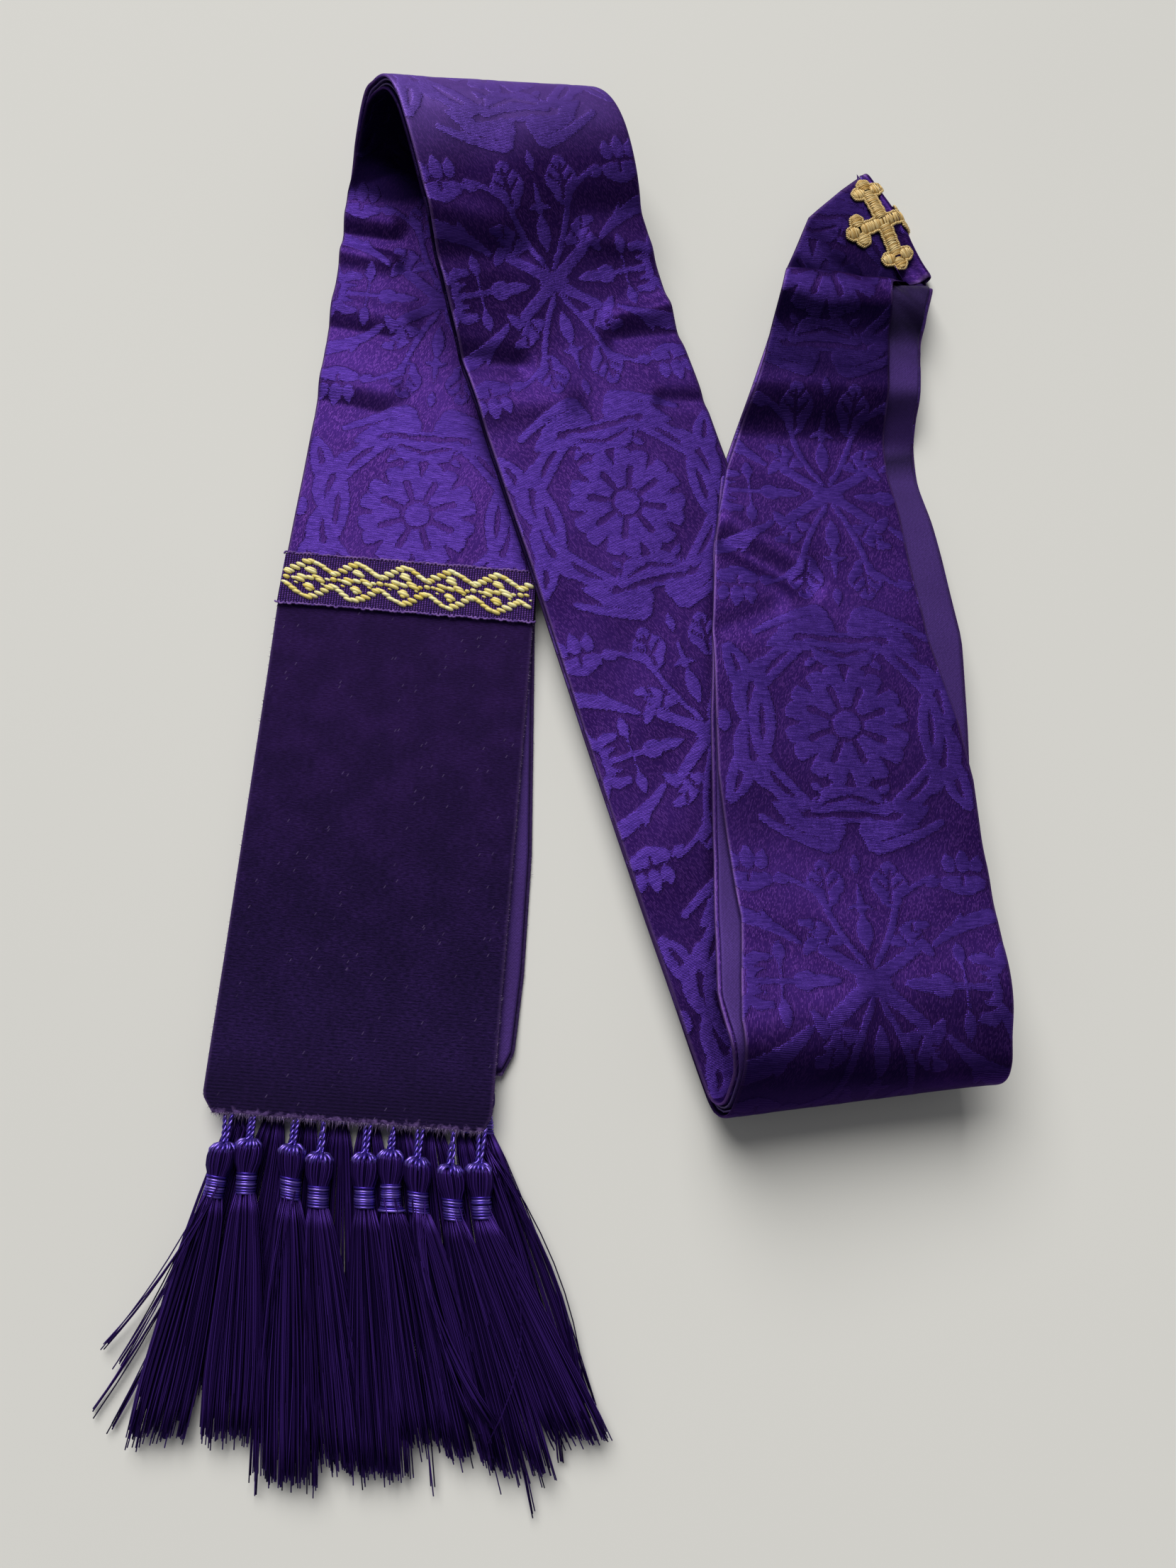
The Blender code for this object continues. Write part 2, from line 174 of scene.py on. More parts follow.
# ------------------------------------------------------------------------------
# The linings. Each half of the stole is lined with plain purple cotton, cut a little smaller
# than its face and slipped in behind it. Here it shows inside the loop and beside the top face.
# Both halves follow one folded strip, which this section sets out.
HEM_AT = (-91.2, -170.0)
HEM_HEADING = math.radians(85.6)      # the strip's direction in plan as it leaves the hem
ALONG = (math.cos(HEM_HEADING), math.sin(HEM_HEADING), 0.0)
ACROSS = (math.sin(HEM_HEADING), -math.cos(HEM_HEADING), 0.0)
TABLE_TO_MIDDLE = 3.5         # up to the middle surface of the folded strip at the hem
FOLDS = (
    # stretch,               length, turn, slant of the creases at its end
    ("flat on the table",       300,   0.0,   0.0),
    ("run-up to the loop",      131,   0.0,  25.5),
    ("loop, rising",             17,  69.5,  18.0),
    ("loop, top",                29,  59.0,   1.5),
    ("loop, coming back",        35,  63.5,  13.0),
    ("loop, leaving",            37,  19.0, -10.5),
    ("ramp, top",                67, -29.0, -20.5),
    ("ramp, upper half",        112,  -2.0, -23.0),
    ("ramp, lower half",        111,  -2.5, -14.0),
    ("ramp, foot",               88,   1.0,   3.5),
    ("bottom fold, rising",      19, -71.5,  14.5),
    ("bottom fold, front",       21, -88.0,   2.5),
    ("bottom fold, over",        28, -41.0,  16.5),
    ("top stretch, sagging",     70,  23.0,  -8.0),
    ("top stretch, middle",     107, -10.5,   4.0),
    ("top stretch, level",       75,   9.5,  -8.0),
    ("shoulder",                 70,  -6.5, -37.0),
    ("neck",                     41,   8.0, -49.5),
    ("neck, up to its edge",     64,  -1.5, -61.0),
)
NECK_BEND = 2.3               # radius of the turnover at the neck's edge
TURNED_DOWN = 2.2             # how much lower the turned part lies where half A ends
SWELLS = (
    # what lifts the cloth,      at, height, reach
    ("the other half's tassels",  0,    3.0,    60),
    ("the galloons",            238,    1.4,    80),
    ("first ripple",           1287,    2.0,    34),
    ("second ripple",          1314,    1.3,    14),
    ("third ripple",           1338,    1.0,    12),
)
CREASES = (
    # from s, w, to s, w, half width, lift towards the upper side
    (541, -50, 552, -20, 6, 2.2),     # middle stretch, left edge
    (560, -48, 564, -12, 6, -2.2),
    (604, -50, 611, -26, 5.5, -3),
    (626, -50, 634, -14, 9, 2.2),
    (600, 24, 600, 50, 5, 2.6),       # middle stretch, right edge
    (609, 20, 613, 50, 5, -2),
    (549, 20, 554, 50, 6, -2),
    (563, 22, 571, 50, 5, 1.6),
    (643, 32, 648, 50, 4, -1.5),
    (396, -52, 393, -28, 6, 2.4),     # left stretch
    (387, -52, 385, -26, 4, -1.2),
    (378, -52, 374, -26, 5, 2.4),
    (350, -50, 345, -18, 8, 2.4),
    (336, -50, 331, -22, 6, -1.8),
    (312, -50, 308, -20, 7, 2.2),
    (299, -50, 294, -22, 6, -1.6),
    (1192, -44, 1174, -14, 5, 1.4),   # right stretch, left edge
    (1181, -46, 1161, -12, 5, -1.9),
    (1140, -50, 1150, -28, 6, -1.2),
    (1060, 20, 1040, 50, 9, 1.2),
    (1010, -50, 1000, -5, 10, 1),
    (985, 5, 980, 48, 8, -1.2),
)
WAVES = (
    # from the hem, height of the cloth's broad waves: at the loop, over the bottom fold, at the neck
    (380, 0), (430, 6), (446, 7.5), (454, 7.5), (468, 0), (953, 0), (974, 6.5), (986, 6.5), (1060, 0),
    (1150, 0), (1196, 0.4), (1230, -5.2), (1236, -5.2), (1259, 5.4), (1268, 4.8), (1282, 4.8),
    (1304, 12), (1308, 12), (1324, -3), (1328, -3), (1356, 2.2), (1385, 1),
)
LYING_UNTIL = 430             # up to here from the hem the lower half lies on the table
DEEPEST = -0.45               # and sinks no further than this
LOOSE_FROM = 225              # up to here it is held flat by the velvet, and then it ripples
LOOSE_OVER = 40               # more and more over this length
PAINTED_CREST_HIGHLIGHT = (468.0, 530.0)        # where a highlight is painted on half B's face over the loop's crest, from the hem
PAINTED_SHADE_DEPTHS = (
    # from the hem, how deep the painted shade is on half A's face and on half B's lining: the lustrous
    # cloth is painted nearly black where it turns from the light
    (330, 0, 0), (345, 0.22, 0), (372, 0.12, 0), (401, 0.1, 0), (408, 0.95, 0), (700, 0.95, 0),
    (740, 0, 0), (880, 0, 0), (925, 0.9, 0), (964, 0.95, 0), (971, 0.6, 0), (976, 0.2, 0), (986, 0, 0),
    (1221, 0, 0), (1232, 0, 0.85), (1239, 0.1, 0.1), (1246, 0.6, 0), (1254, 0.4, 0.6), (1260, 0.5, 0.1),
    (1267, 0.8, 0), (1278, 0.7, 0.3), (1288, 0.9, 1), (1296, 0.95, 0.8), (1301, 0, 0.7), (1306, 0, 0.7),
    (1313, 0.95, 0.7), (1330, 0.9, 0.7), (1337, 0.6, 0.7), (1380, 0.6, 0.7),
)
CUT_A = (
    # from the hem, left edge, right edge
    (0, -49, 52), (6, -53.5, 55), (50, -54, 54.5), (205, -53.5, 53.5), (290, -50, 51), (400, -49, 49.5),
    (700, -49, 49.5), (850, -50.5, 50.5), (980, -50, 50.5), (1000, -48.5, 51.5), (1021, -46.5, 52.5),
    (1045, -48.5, 52.5), (1080, -52.5, 50.5), (1105, -53, 46), (1140, -53, 37), (1172, -51, 33),
    (1195, -48.5, 31), (1220, -43, 29), (1250, -33, 28), (1270, -27, 28.5), (1308, -18.5, 31),
    (1318, -15, 41.2), (1350, -2, 30.8), (1366, 14, 25.6), (1373, 22, 23.4),
)
CUT_B = (
    (21, -45, 57), (30, -50, 61), (60, -48, 62), (108, -48, 61), (150, -49, 58), (205, -50.5, 54),
    (290, -50, 50), (500, -49, 49.5), (700, -48.5, 49), (850, -50.5, 50.5), (930, -50.5, 50),
    (965, -52, 50), (990, -57, 50), (1021, -55.5, 49.5), (1045, -54, 49.5), (1105, -54, 52),
    (1143, -52, 53), (1181, -50, 49), (1220, -44.5, 44), (1250, -34.5, 43), (1282, -24, 45.5),
    (1297, -20, 48.5), (1320, -13, 54.5), (1350, -1, 54.5), (1366, 15, 54.5), (1378, 25, 54.5),
)
CUT_END = 1378.0              # from the hem to the end of the cut at the neck
HEM_STEP = 21.0               # half B's hem lies this far in from half A's
LINING = (0.4, 1.4)           # heights off the middle surface
LINING_INSET = 1.5
LINING_STOPS = 14.0           # before the neck's edge
COTTON_THREADS = 1.8          # drawn in each millimetre
LINING_SHOWN = {"a": ((420, 560),), "b": ((0, 215), (410, 560), (930, 1420))}
HALVES = (("a", 1, CUT_A, 0.0), ("b", -1, CUT_B, HEM_STEP))       # name, side of the strip, cut, hem
EDGE_STEPS = np.array((0.0, 0.12, 0.4, 0.9, 1.6))     # from an edge inward, where its rounding is drawn


def trace_strip():
    """Samples of the strip's middle line and of its three directions, a millimetre apart."""
    along, across, off = np.array(ALONG), np.array(ACROSS), np.array([0.0, 0.0, 1.0])
    point = np.array([*HEM_AT, TABLE_TO_MIDDLE])
    samples = [(0.0, *point, *along, *across, *off, 0.0)]
    t = 0.0
    slant_before = 0.0
    for _, length, turn, slant_after in FOLDS:
        step_turn = math.radians(turn) / length
        for step in range(length):
            part = (step + 0.5) / length
            slant = math.radians(slant_before + (slant_after - slant_before) * part)
            crease = math.cos(slant) * across + math.sin(slant) * along

            def turned(vector, angle):
                """The vector turned about the crease."""
                straight = crease * crease.dot(vector) * (1 - math.cos(angle))
                return vector * math.cos(angle) + np.cross(crease, vector) * math.sin(angle) + straight

            point = point + turned(along, step_turn / 2)
            along, across, off = (turned(v, step_turn) for v in (along, across, off))
            t += 1.0
            slant = slant_before + (slant_after - slant_before) * (step + 1) / length
            samples.append((t, *point, *along, *across, *off, math.radians(slant)))
        slant_before = slant_after
    return np.array(samples)


STRIP = trace_strip()
END = STRIP[-1, 0]            # where the neck's edge is


def eased(share):
    """The share, from 0 to 1, with a slow start and a slow finish."""
    return share ** 2 * (3 - 2 * share)


def swell(t):
    """How far the cloth is lifted off the middle surface at each t."""
    lift = np.zeros_like(t)
    for _, centre, height, reach in SWELLS:
        away = np.minimum(np.abs(t - centre) / reach, 1.0)
        lift += height * (0.5 + 0.5 * np.cos(math.pi * away))
    return lift


def wrinkle(s, w):
    """How far the cloth's small creases lift it towards its upper side."""
    waves = np.array(WAVES)
    step = np.clip(np.searchsorted(waves[:, 0], s) - 1, 0, len(waves) - 2)
    share = np.clip((s - waves[step, 0]) / (waves[step + 1, 0] - waves[step, 0]), 0.0, 1.0)
    lift = waves[step, 1] + (waves[step + 1, 1] - waves[step, 1]) * eased(share)
    for s0, w0, s1, w1, half, height in CREASES:
        length = math.hypot(s1 - s0, w1 - w0)
        along = ((s - s0) * (s1 - s0) + (w - w0) * (w1 - w0)) / length
        beside = ((s - s0) * (w1 - w0) - (w - w0) * (s1 - s0)) / length
        fade = np.clip(1 - np.maximum(-along, along - length) / (1.6 * half), 0.0, 1.0)
        lift = lift + height * np.exp(-(beside / half) ** 2) * eased(fade)
    loose = np.clip((s - LOOSE_FROM) / LOOSE_OVER, 0.0, 1.0)
    ripple = np.sin(s / 8.3 + 1.7 * np.sin(w / 19 + 0.6)) * np.sin(w / 13 + s / 61)
    lift = lift + loose * (0.3 * ripple + 0.35 * np.sin(s / 21 + w / 27 + 1.0))
    return np.where(s < LYING_UNTIL, np.maximum(lift, DEEPEST), lift)


def shade(s, w, column):
    """How deep the painted shade is in the cloth's hollows, whose edges wander a little."""
    table = np.array(PAINTED_SHADE_DEPTHS)
    wander = 1.8 * np.sin(w / 11 + s / 40) + 0.9 * np.sin(w / 4.3 + 2.0)
    return np.interp(s + wander, table[:, 0], table[:, column])


def slant_at(t):
    """How far the creases turn from straight across the strip at each t, in radians."""
    return np.interp(t, STRIP[:, 0], STRIP[:, -1])


def place(t, w, h):
    """Points, in metres, at t along the strip, w across it and h off it. Past the neck's edge the
    cloth turns over that edge and comes back on the other side, lower where half A ends."""
    t, w, h = np.broadcast_arrays(*(np.asarray(v, float) for v in (t, w, h)))
    slant = slant_at(t)
    past = np.maximum(t - END, 0.0) * np.cos(slant)
    columns = [np.interp(t, STRIP[:, 0], STRIP[:, c]) for c in range(1, 13)]
    point, along, across, off = (np.stack(columns[i:i + 3], -1) for i in (0, 3, 6, 9))
    cosine, sine = np.cos(slant)[..., None], np.sin(slant)[..., None]
    crease = cosine * across + sine * along
    outward = cosine * along - sine * across
    point = point + along * np.minimum(t, 0.0)[..., None]
    angle = np.minimum(past / NECK_BEND, math.pi)
    back = np.maximum(past - math.pi * NECK_BEND, 0.0)
    run = (w + past * np.sin(slant)) / np.cos(slant)
    spot = point + crease * run[..., None] + outward * (np.abs(h) * np.sin(angle) - back)[..., None]
    w_under = w + (past + back) * np.sin(slant)
    s_under = np.minimum(t, END) - back / np.cos(slant) + w_under * np.tan(slant)
    lift = swell(t) + off[..., 2] * wrinkle(s_under, w_under)
    cut = np.array(CUT_A)
    beside = np.clip((w_under - np.interp(s_under, cut[:, 0], cut[:, 2])) / 4, 0.0, 1.0)
    lift = lift - TURNED_DOWN * eased(beside) * np.clip(back / 4, 0.0, 1.0)
    return (spot + off * (h * np.cos(angle) + lift)[..., None]) * MM


def from_hem(t, w):
    """How far along the flat cut the point at t and w is."""
    return t + w * np.tan(slant_at(t))


def cut_edges(cut, t):
    """Where the crease at each t meets the left and the right edge of a half."""
    table = np.array(cut)
    edges = []
    for side in (1, 2):
        w = np.zeros_like(t)
        for _ in range(60):
            w += 0.5 * (np.interp(from_hem(t, w), table[:, 0], table[:, side]) - w)
        edges.append(w)
    return edges


def rows_between(cut, t, inset=0.0, least=0.0):
    """Rows across a half wherever it is wide enough: t and w of their left ends, then of their right."""
    left, right = cut_edges(cut, t)
    left, right = left + inset, right - inset
    keep = right - left > least
    return [t[keep], left[keep], t[keep], right[keep]]


def stops(start, finish, shown, fine, coarse):
    """Places of the rows from start to finish, close together in the stretches that show."""
    steps = np.arange(start, finish, 0.25)
    rate = np.full(steps.shape, 1.0 / coarse)
    for low, high in shown:
        rate[(steps >= low) & (steps <= high)] = 1.0 / fine
    total = np.concatenate([[0.0], np.cumsum(rate * 0.25)])
    return np.interp(np.linspace(0, total[-1], math.ceil(total[-1]) + 1), total, [*steps, finish])


def cloth_shell(name, material, ends, layer, side, columns, back_columns, soft=1.3, rounded_start=True,
                lift=None, extra=None, shade_column=0):
    """A thin closed shell of cloth over a panel, with rounded edges. Rows run from the left edge
    to the right one. The layer is the heights of its two surfaces, soft how wide its edges are
    rounded, lift what raises its surface, and extra one more value for the material. The UV map is
    the flat cut: across and along, in metres."""
    t_left, w_left, t_right, w_right = ends
    half = (layer[1] - layer[0]) / 2
    middle = (layer[1] + layer[0]) / 2
    width = w_right - w_left

    def across(count):
        """Shares of the width, with the rounding's steps at both edges."""
        edge = EDGE_STEPS / np.median(width)
        inner = np.linspace(edge[-1], 1 - edge[-1], count)[1:-1]
        return np.concatenate([edge, inner, 1 - edge[::-1]])

    face, back = across(columns), across(back_columns)[1:-1][::-1]
    share = np.concatenate([face, back])
    t = t_left[:, None] + (t_right - t_left)[:, None] * share
    w = w_left[:, None] + width[:, None] * share
    from_edge = np.minimum(share, 1 - share) * width[:, None]
    from_end = t_left[-1] - t_left
    if rounded_start:
        from_end = np.minimum(from_end, t_left - t_left[0])
    near = np.minimum(from_edge, from_end[:, None])
    round_off = np.sqrt(np.clip(1 - (1 - np.minimum(near / soft, 1.0)) ** 2, 0.0, 1.0))
    sign = np.concatenate([np.ones(len(face)), -np.ones(len(back))])
    height = middle + half * round_off * sign
    s = from_hem(t, w)
    if lift is not None:
        height = height + lift(s, w, from_edge, sign)
    points = place(t, w, side * height)
    rows, ring = t.shape
    index = np.arange(rows * ring).reshape(rows, ring)
    a, b = index[:-1], index[1:]
    quads = np.stack([a, np.roll(a, -1, 1), np.roll(b, -1, 1), b], -1).reshape(-1, 4)
    if side < 0:
        quads = quads[:, ::-1]
    caps = [index[0][::-1], index[-1]] if side > 0 else [index[0], index[-1][::-1]]
    faces = [*quads.tolist(), *(c.tolist() for c in caps)]
    mesh = bpy.data.meshes.new(name)
    mesh.from_pydata(points.reshape(-1, 3).tolist(), [], faces)
    flat = np.stack([w, s], -1).reshape(-1, 2) * MM
    corners = np.empty(len(mesh.loops), np.int32)
    mesh.loops.foreach_get("vertex_index", corners)
    mesh.uv_layers.new(name="flat_cut").data.foreach_set("uv", flat[corners].astype(np.float32).ravel())
    stored = {"from_edge": from_edge, "from_end": np.broadcast_to(t - t_left.min(), t.shape)}
    if extra is not None:
        stored[extra[0]] = extra[1](s, w)
    # painted shade of the cloth's hollows, which the materials mix towards near black
    if shade_column:
        stored["shade"] = shade(s, w, shade_column)
    elif side < 0:
        # a painted highlight where half B's face crests over the loop
        stored["bloom"] = np.interp(s, (PAINTED_CREST_HIGHLIGHT[0], PAINTED_CREST_HIGHLIGHT[0] + 12, PAINTED_CREST_HIGHLIGHT[1]), (0.0, 1.0, 0.0))
    return dressed(name, mesh, material, stored)


def flat_cut(node):
    """Sockets with the place on the flat cut in millimetres: both, across the cloth, along it."""
    flat = node("VectorMath MULTIPLY", (node("UVMap flat_cut"), (1 / MM,) * 3))
    return flat, *node("SeparateXYZ", (flat,)).node.outputs[:2]


def cloth_surface(node, colour, relief, finish):
    """A cloth's surface from its colour, its relief in millimetres and its finish."""
    bumpy = node("Bump", {"Height": relief, "Distance": MM, "Strength": 1.0})
    surface = node("BsdfPrincipled", {"Base Color": colour, "Normal": bumpy, **finish})
    node("OutputMaterial", (surface,))


# A plain weave cotton: threads over and under each other, no gloss. The threads are drawn twice as
# coarse as they are.
lining_cotton, node = new_material("plain woven cotton lining")
flat, *_ = flat_cut(node)
checks = node("TexChecker", {"Vector": flat, "Scale": COTTON_THREADS}, "Fac")
slubs = node("TexNoise", {"Vector": flat, "Scale": 0.9, "Detail": 4.0})
tone = node("TexNoise", {"Vector": flat, "Scale": 0.05, "Detail": 2.0})
weave = node("Math MULTIPLY_ADD", (checks, 0.35, slubs))
cotton_colour = node("MixRGB", (weave, linear("#2A1A48"), linear("#54388A")))
cotton_colour = node("MixRGB", (tone, cotton_colour, linear("#3E2868")))
# painted shade: half B's lining is darkened towards near black where it turns from the light
in_shade = node("Math MULTIPLY", (node("Attribute shade", out="Fac"), 0.92))
cotton_colour = node("MixRGB", (in_shade, cotton_colour, linear("#0A0420")))
cloth_surface(node, cotton_colour, node("Math MULTIPLY", (weave, 0.12)), {
    "Roughness": 0.58, "Metallic": 0.6, "Specular IOR Level": 0.2})


def flat_area(cut, start, finish, inset=0.0):
    """Width and length of the cut, and its area, in metres."""
    s = np.linspace(start, finish, 400)
    table = np.array(cut)
    left, right = (np.interp(s, table[:, 0], table[:, c]) for c in (1, 2))
    width = np.maximum(right - left - 2 * inset, 0.0)
    size = (float(width.max()) * MM, (finish - start) * MM)
    area = float(width.mean()) * (finish - start) * MM * MM
    return size, min(area, size[0] * size[1])


for half, side, cut, hem in HALVES:
    t = stops(hem + LINING_INSET, END - LINING_STOPS, LINING_SHOWN[half], fine=2.0, coarse=5.0)
    rows = rows_between(cut, t, LINING_INSET, least=4.0)
    lining = cloth_shell(f"lining_{half}", lining_cotton, rows, LINING, side, columns=34, back_columns=12,
                         soft=0.8, shade_column=2 if half == "b" else 0)
    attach(lining, "root")
    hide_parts(f"lining_{half}")
    size, area = flat_area(cut, hem + LINING_INSET, CUT_END, LINING_INSET)


# ------------------------------------------------------------------------------
# The faces. Purple silk damask, the figure woven in floats that run across the cloth and stand
# a little proud of the steep twill ground. One repeat is a rosette in leaves and a cross of
# sprays; each half of it mirrors the other, along the cloth and across it.
FRONT = (1.7, 2.9)            # heights off the middle surface
FACE_SHOWN = {"a": ((212, 452), (948, 1420)), "b": ((428, 1000), (1380, 1500))}
FACE_STOPS = 9.0              # before the neck's edge
VELVET_LENGTH = 212.0
GAP = 0.3                     # between the face and the velvet, and between a hem and its tassels
SEAM_AT_APEX = 3.0            # how far half B's face comes back past the neck's edge to the seam
SEAM_AT_CORNER = 14.5
APEX = 25.5                   # the turnover's two ends, across the cloth
CORNER = 54.0
FIGURE_STARTS = {"a": 1101.0, "b": 685.5}     # middle of a rosette, from the hem
HALF_REPEAT = 106.4           # from the middle of a rosette to the middle of the next sprays
PETALS = 8
PETAL = (7.2, 23.2)           # from the rosette's middle to its foot and to its rim
PETAL_LOBES = 2.2             # how far its two lobes swell past that
NOTCH_FROM = 17.4             # in the middle of its rim
SLOT_TO = 15.8                # between two petals, which part again further out
SPLIT_FROM = 22.0
BUTTON = 5.6
PUFF = 0.10                   # the figure stands this much above the ground
FLOAT = 0.55                  # between two floats
FLOAT_LENGTH = 3.2            # along a float, until it dips under a thread
FLOAT_STEP = 1.1              # floats end together in steps this wide
TWILL_SPECK = (0.45, 0.9)     # one crossing of the ground, across and along
HATCH = 0.6                   # between two light threads round the figure
TWILL_LEAN = 0.28             # of the ground's lines, across for each millimetre along
ROSETTE_STROKES = (
    # from x, y, to x, y, bow, half width at start, middle, end, slit
    (0, 30.6, 13.6, 33.6, -1.8, 5, 5.2, 3.2),        # arch under the rosette
    (13, 26.6, 15.6, 24.4, 0, 1.6, 1.4, 0.5),        # its horn
    (19, 32.4, 34, 16.6, 1.6, 3.2, 4.5, 3.2, 1.05),  # leaf on the slant
    (34.4, 11, 34.4, -11, 0, 3.6, 5.4, 3.6, 1.1),    # leaf at the side
    (40.8, 0, 42.6, 15, -1.4, 1.6, 2.9, 3.2),        # outer ribbon
    (42.6, 15, 47, 31, 1, 3.2, 5.2, 2.6, 1),
    (41.5, 18.5, 34.5, 24.6, 1.2, 3, 3.2, 2.4),
    (34.5, 24.6, 21.6, 38.6, 1.2, 1.7, 1.6, 2.6),
    (31, 32.6, 23.5, 38.4, 0.6, 0.6, 2.6, 2.6),      # its leaf
    (24, 39.6, 7.4, 42.6, -0.8, 2.2, 3.5, 4.8),      # wing, upper part
    (35.6, 38.8, 10, 50, -1, 1.5, 2, 2.5),           # wing, lower rim
    (6.6, 44.5, 8.4, 48.8, 0, 2.6, 3, 3),
    (0, 38.8, 7, 39.6, 0, 1, 1.1, 2.2),              # bridge between the wings
    (49.5, -2, 49.5, 2, 0, 2.4, 2.6, 2.4),
)
ROSETTE_VEINS = (
    # from x, y, to x, y, half width
    (0, 29.4, 11, 32.6, 0.85),    # along the arch
    (12.4, 28, 13.4, 31.6, 0.6),
)
SPRAY_STROKES = (
    # as the rosette's
    (0, 0, 6, 0, 0, 4.4, 3.6, 0.8),              # where the stems meet
    (0, 0, 17, 13, 0, 3, 2.5, 2.4),              # cut stem
    (14.8, 21.6, 23.6, 24.6, 0.8, 2, 2.4, 1.6),  # trumpet, its three lobes
    (10.6, 16.6, 18.6, 18.8, 0, 1.8, 3, 1.4),
    (20.4, 16.2, 24.2, 11.2, 0, 2.4, 2.2, 0.9),
    (16.5, 19, 21, 20, 0, 1.2, 1.4, 1.2),
    (26, 16, 49, 28.5, 1.4, 1.2, 2.6, 3.6),      # branch to the edge
    (36.5, 25, 38.5, 29.6, 0, 1.8, 1.2, 0.4),    # its thorn
    (1.6, 6, 14.4, 35, -1.2, 0.9, 1.3, 1.2),     # long stem
    (14.4, 35, 30, 44.8, 1, 1.1, 1.1, 1.3),
    (5.4, 12, 2.6, 9, 0, 0.6, 1.4, 0.9),         # its thorn
    (27, 41.2, 31.6, 43.6, 0, 0.5, 1.8, 1.2),
    (0, 13.6, 0, 28.6, 0, 0.5, 3, 0.4),          # lens leaf
    (0, 30.4, 0, 41, 0, 1.6, 1.2, 0.4),          # small lily
    (0, 32, 4.8, 31, 0.4, 1, 1, 0.4),
    (0, 46.4, 0, 53.6, 0, 0.6, 1.9, 0.5),        # spear
    (12.2, 36, 12.8, 48, 0, 4.4, 7.4, 3.2),      # veined leaf
    (35.6, 42.6, 47.4, 42.6, -1, 3, 4.2, 3),     # bud, its cup
    (36.6, 49.4, 36, 54, 0, 2.4, 2.6, 1),        # bud, its petals
    (42, 49.6, 42.4, 55.4, 0, 2.6, 2.8, 1.2),
    (47.4, 49.2, 48.6, 53.6, 0, 2.2, 2.4, 1),
    (11.6, 0, 21.4, 0, 0, 0.4, 2.3, 2.2),        # torch, its flame
    (24.8, 0, 25.4, 0, 0, 4.2, 4.3, 4),          # its knob
    (29, 0, 42.4, 0, 0, 1.2, 1.1, 1.5),          # its handle
    (34, 1, 34, 8, 0, 0.5, 0.5, 0.6),            # small bud on the handle
    (34, 7.6, 34, 16.4, 0, 0.6, 2.4, 0.4),
    (39, 9.6, 46.4, 6.4, 1.6, 1.8, 2.4, 1.4),    # scrolls at the edge
    (40.6, 4.6, 45, 0, 2.4, 0.9, 1.9, 2.2),
    (46.4, 6.4, 52, 14, 0, 1.6, 2.4, 3),
)
SPRAY_VEINS = (
    # as the rosette's
    (12, 34, 13.4, 47.6, 0.75), (12.3, 38.6, 7.6, 43.6, 0.65), (12.6, 39, 17.6, 43, 0.65),
    (12.9, 43.6, 9.6, 47.4, 0.6), (13, 43.8, 16.4, 47, 0.6), (15.4, 16, 13.2, 20.6, 0.6),
    (19.4, 18, 24, 21.6, 0.6), (18.2, 21.4, 19, 25.6, 0.6), (41.6, 42.4, 41.6, 46, 0.7),
)


def stroke(x, y, x0, y0, x1, y1, bow, start, middle, end, slit=0.0):
    """How far points are inside a stroke that swells and narrows along a bowed line; outside it
    the distance is negative. A slit leaves the middle of the stroke open."""
    length = math.hypot(x1 - x0, y1 - y0)
    ux, uy = (x1 - x0) / length, (y1 - y0) / length
    along = ((x - x0) * ux + (y - y0) * uy) / length
    part = np.clip(along, 0.0, 1.0)
    beside = (y - y0) * ux - (x - x0) * uy - 4 * bow * part * (1 - part)
    half = start * (1 - part) * (1 - 2 * part) + 4 * middle * part * (1 - part)
    half = half + end * part * (2 * part - 1)
    inside = half - np.hypot((along - part) * length, beside)
    if slit:
        taper = np.clip(1.0 - (np.abs(part - 0.5) / 0.36) ** 4, -1.0, 1.0)
        inside = np.minimum(inside, np.abs(beside) - slit * taper)
    return inside


def rosette(x, y):
    """How far points are inside the rosette: heart-shaped petals round a button."""
    r = np.hypot(x, y)
    turn = np.arctan2(y, x) / (2 * math.pi) * PETALS
    off_petal = np.abs(turn - np.round(turn))            # 0 at a petal's middle, 0.5 between two
    away = r * 2 * math.pi / PETALS
    rim = PETAL[1] + PETAL_LOBES * np.sqrt(np.sin(math.pi * np.clip(off_petal * 2, 0.0, 1.0)))
    petals = np.minimum(rim - r, r - PETAL[0])
    notch = np.where(r > NOTCH_FROM, 0.30 * (r - NOTCH_FROM) - off_petal * away, -1.0)
    between = (0.5 - off_petal) * away
    slot = 1.15 + 0.4 * np.clip((r - 8) / 8, 0, 1) - np.hypot(between, np.maximum(r - SLOT_TO, 0.0))
    split = np.where(r > SPLIT_FROM, 0.24 * (r - SPLIT_FROM) - between, -1.0)
    return np.maximum(np.minimum(petals, -np.maximum(np.maximum(notch, slot), split)), BUTTON - r)


def figure(w, s, start):
    """How far points of the flat cut are inside the woven figure."""
    x = np.abs(w)
    y = np.abs((s - start + HALF_REPEAT) % (2 * HALF_REPEAT) - HALF_REPEAT)
    nothing = np.full(x.shape, -9.0)
    drawn = []
    for inside, up, strokes, veins, vein_end in (
            (rosette(x, y), y, ROSETTE_STROKES, ROSETTE_VEINS, 0.6),
            (nothing, HALF_REPEAT - y, SPRAY_STROKES, SPRAY_VEINS, 1.0)):
        for row in strokes:
            inside = np.maximum(inside, stroke(x, up, *row))
        for *line, half in veins:
            inside = np.minimum(inside, -stroke(x, up, *line, 0.0, half, half, half * vein_end))
        drawn.append(inside)
    return np.clip(np.maximum(*drawn), -3.0, 3.0)


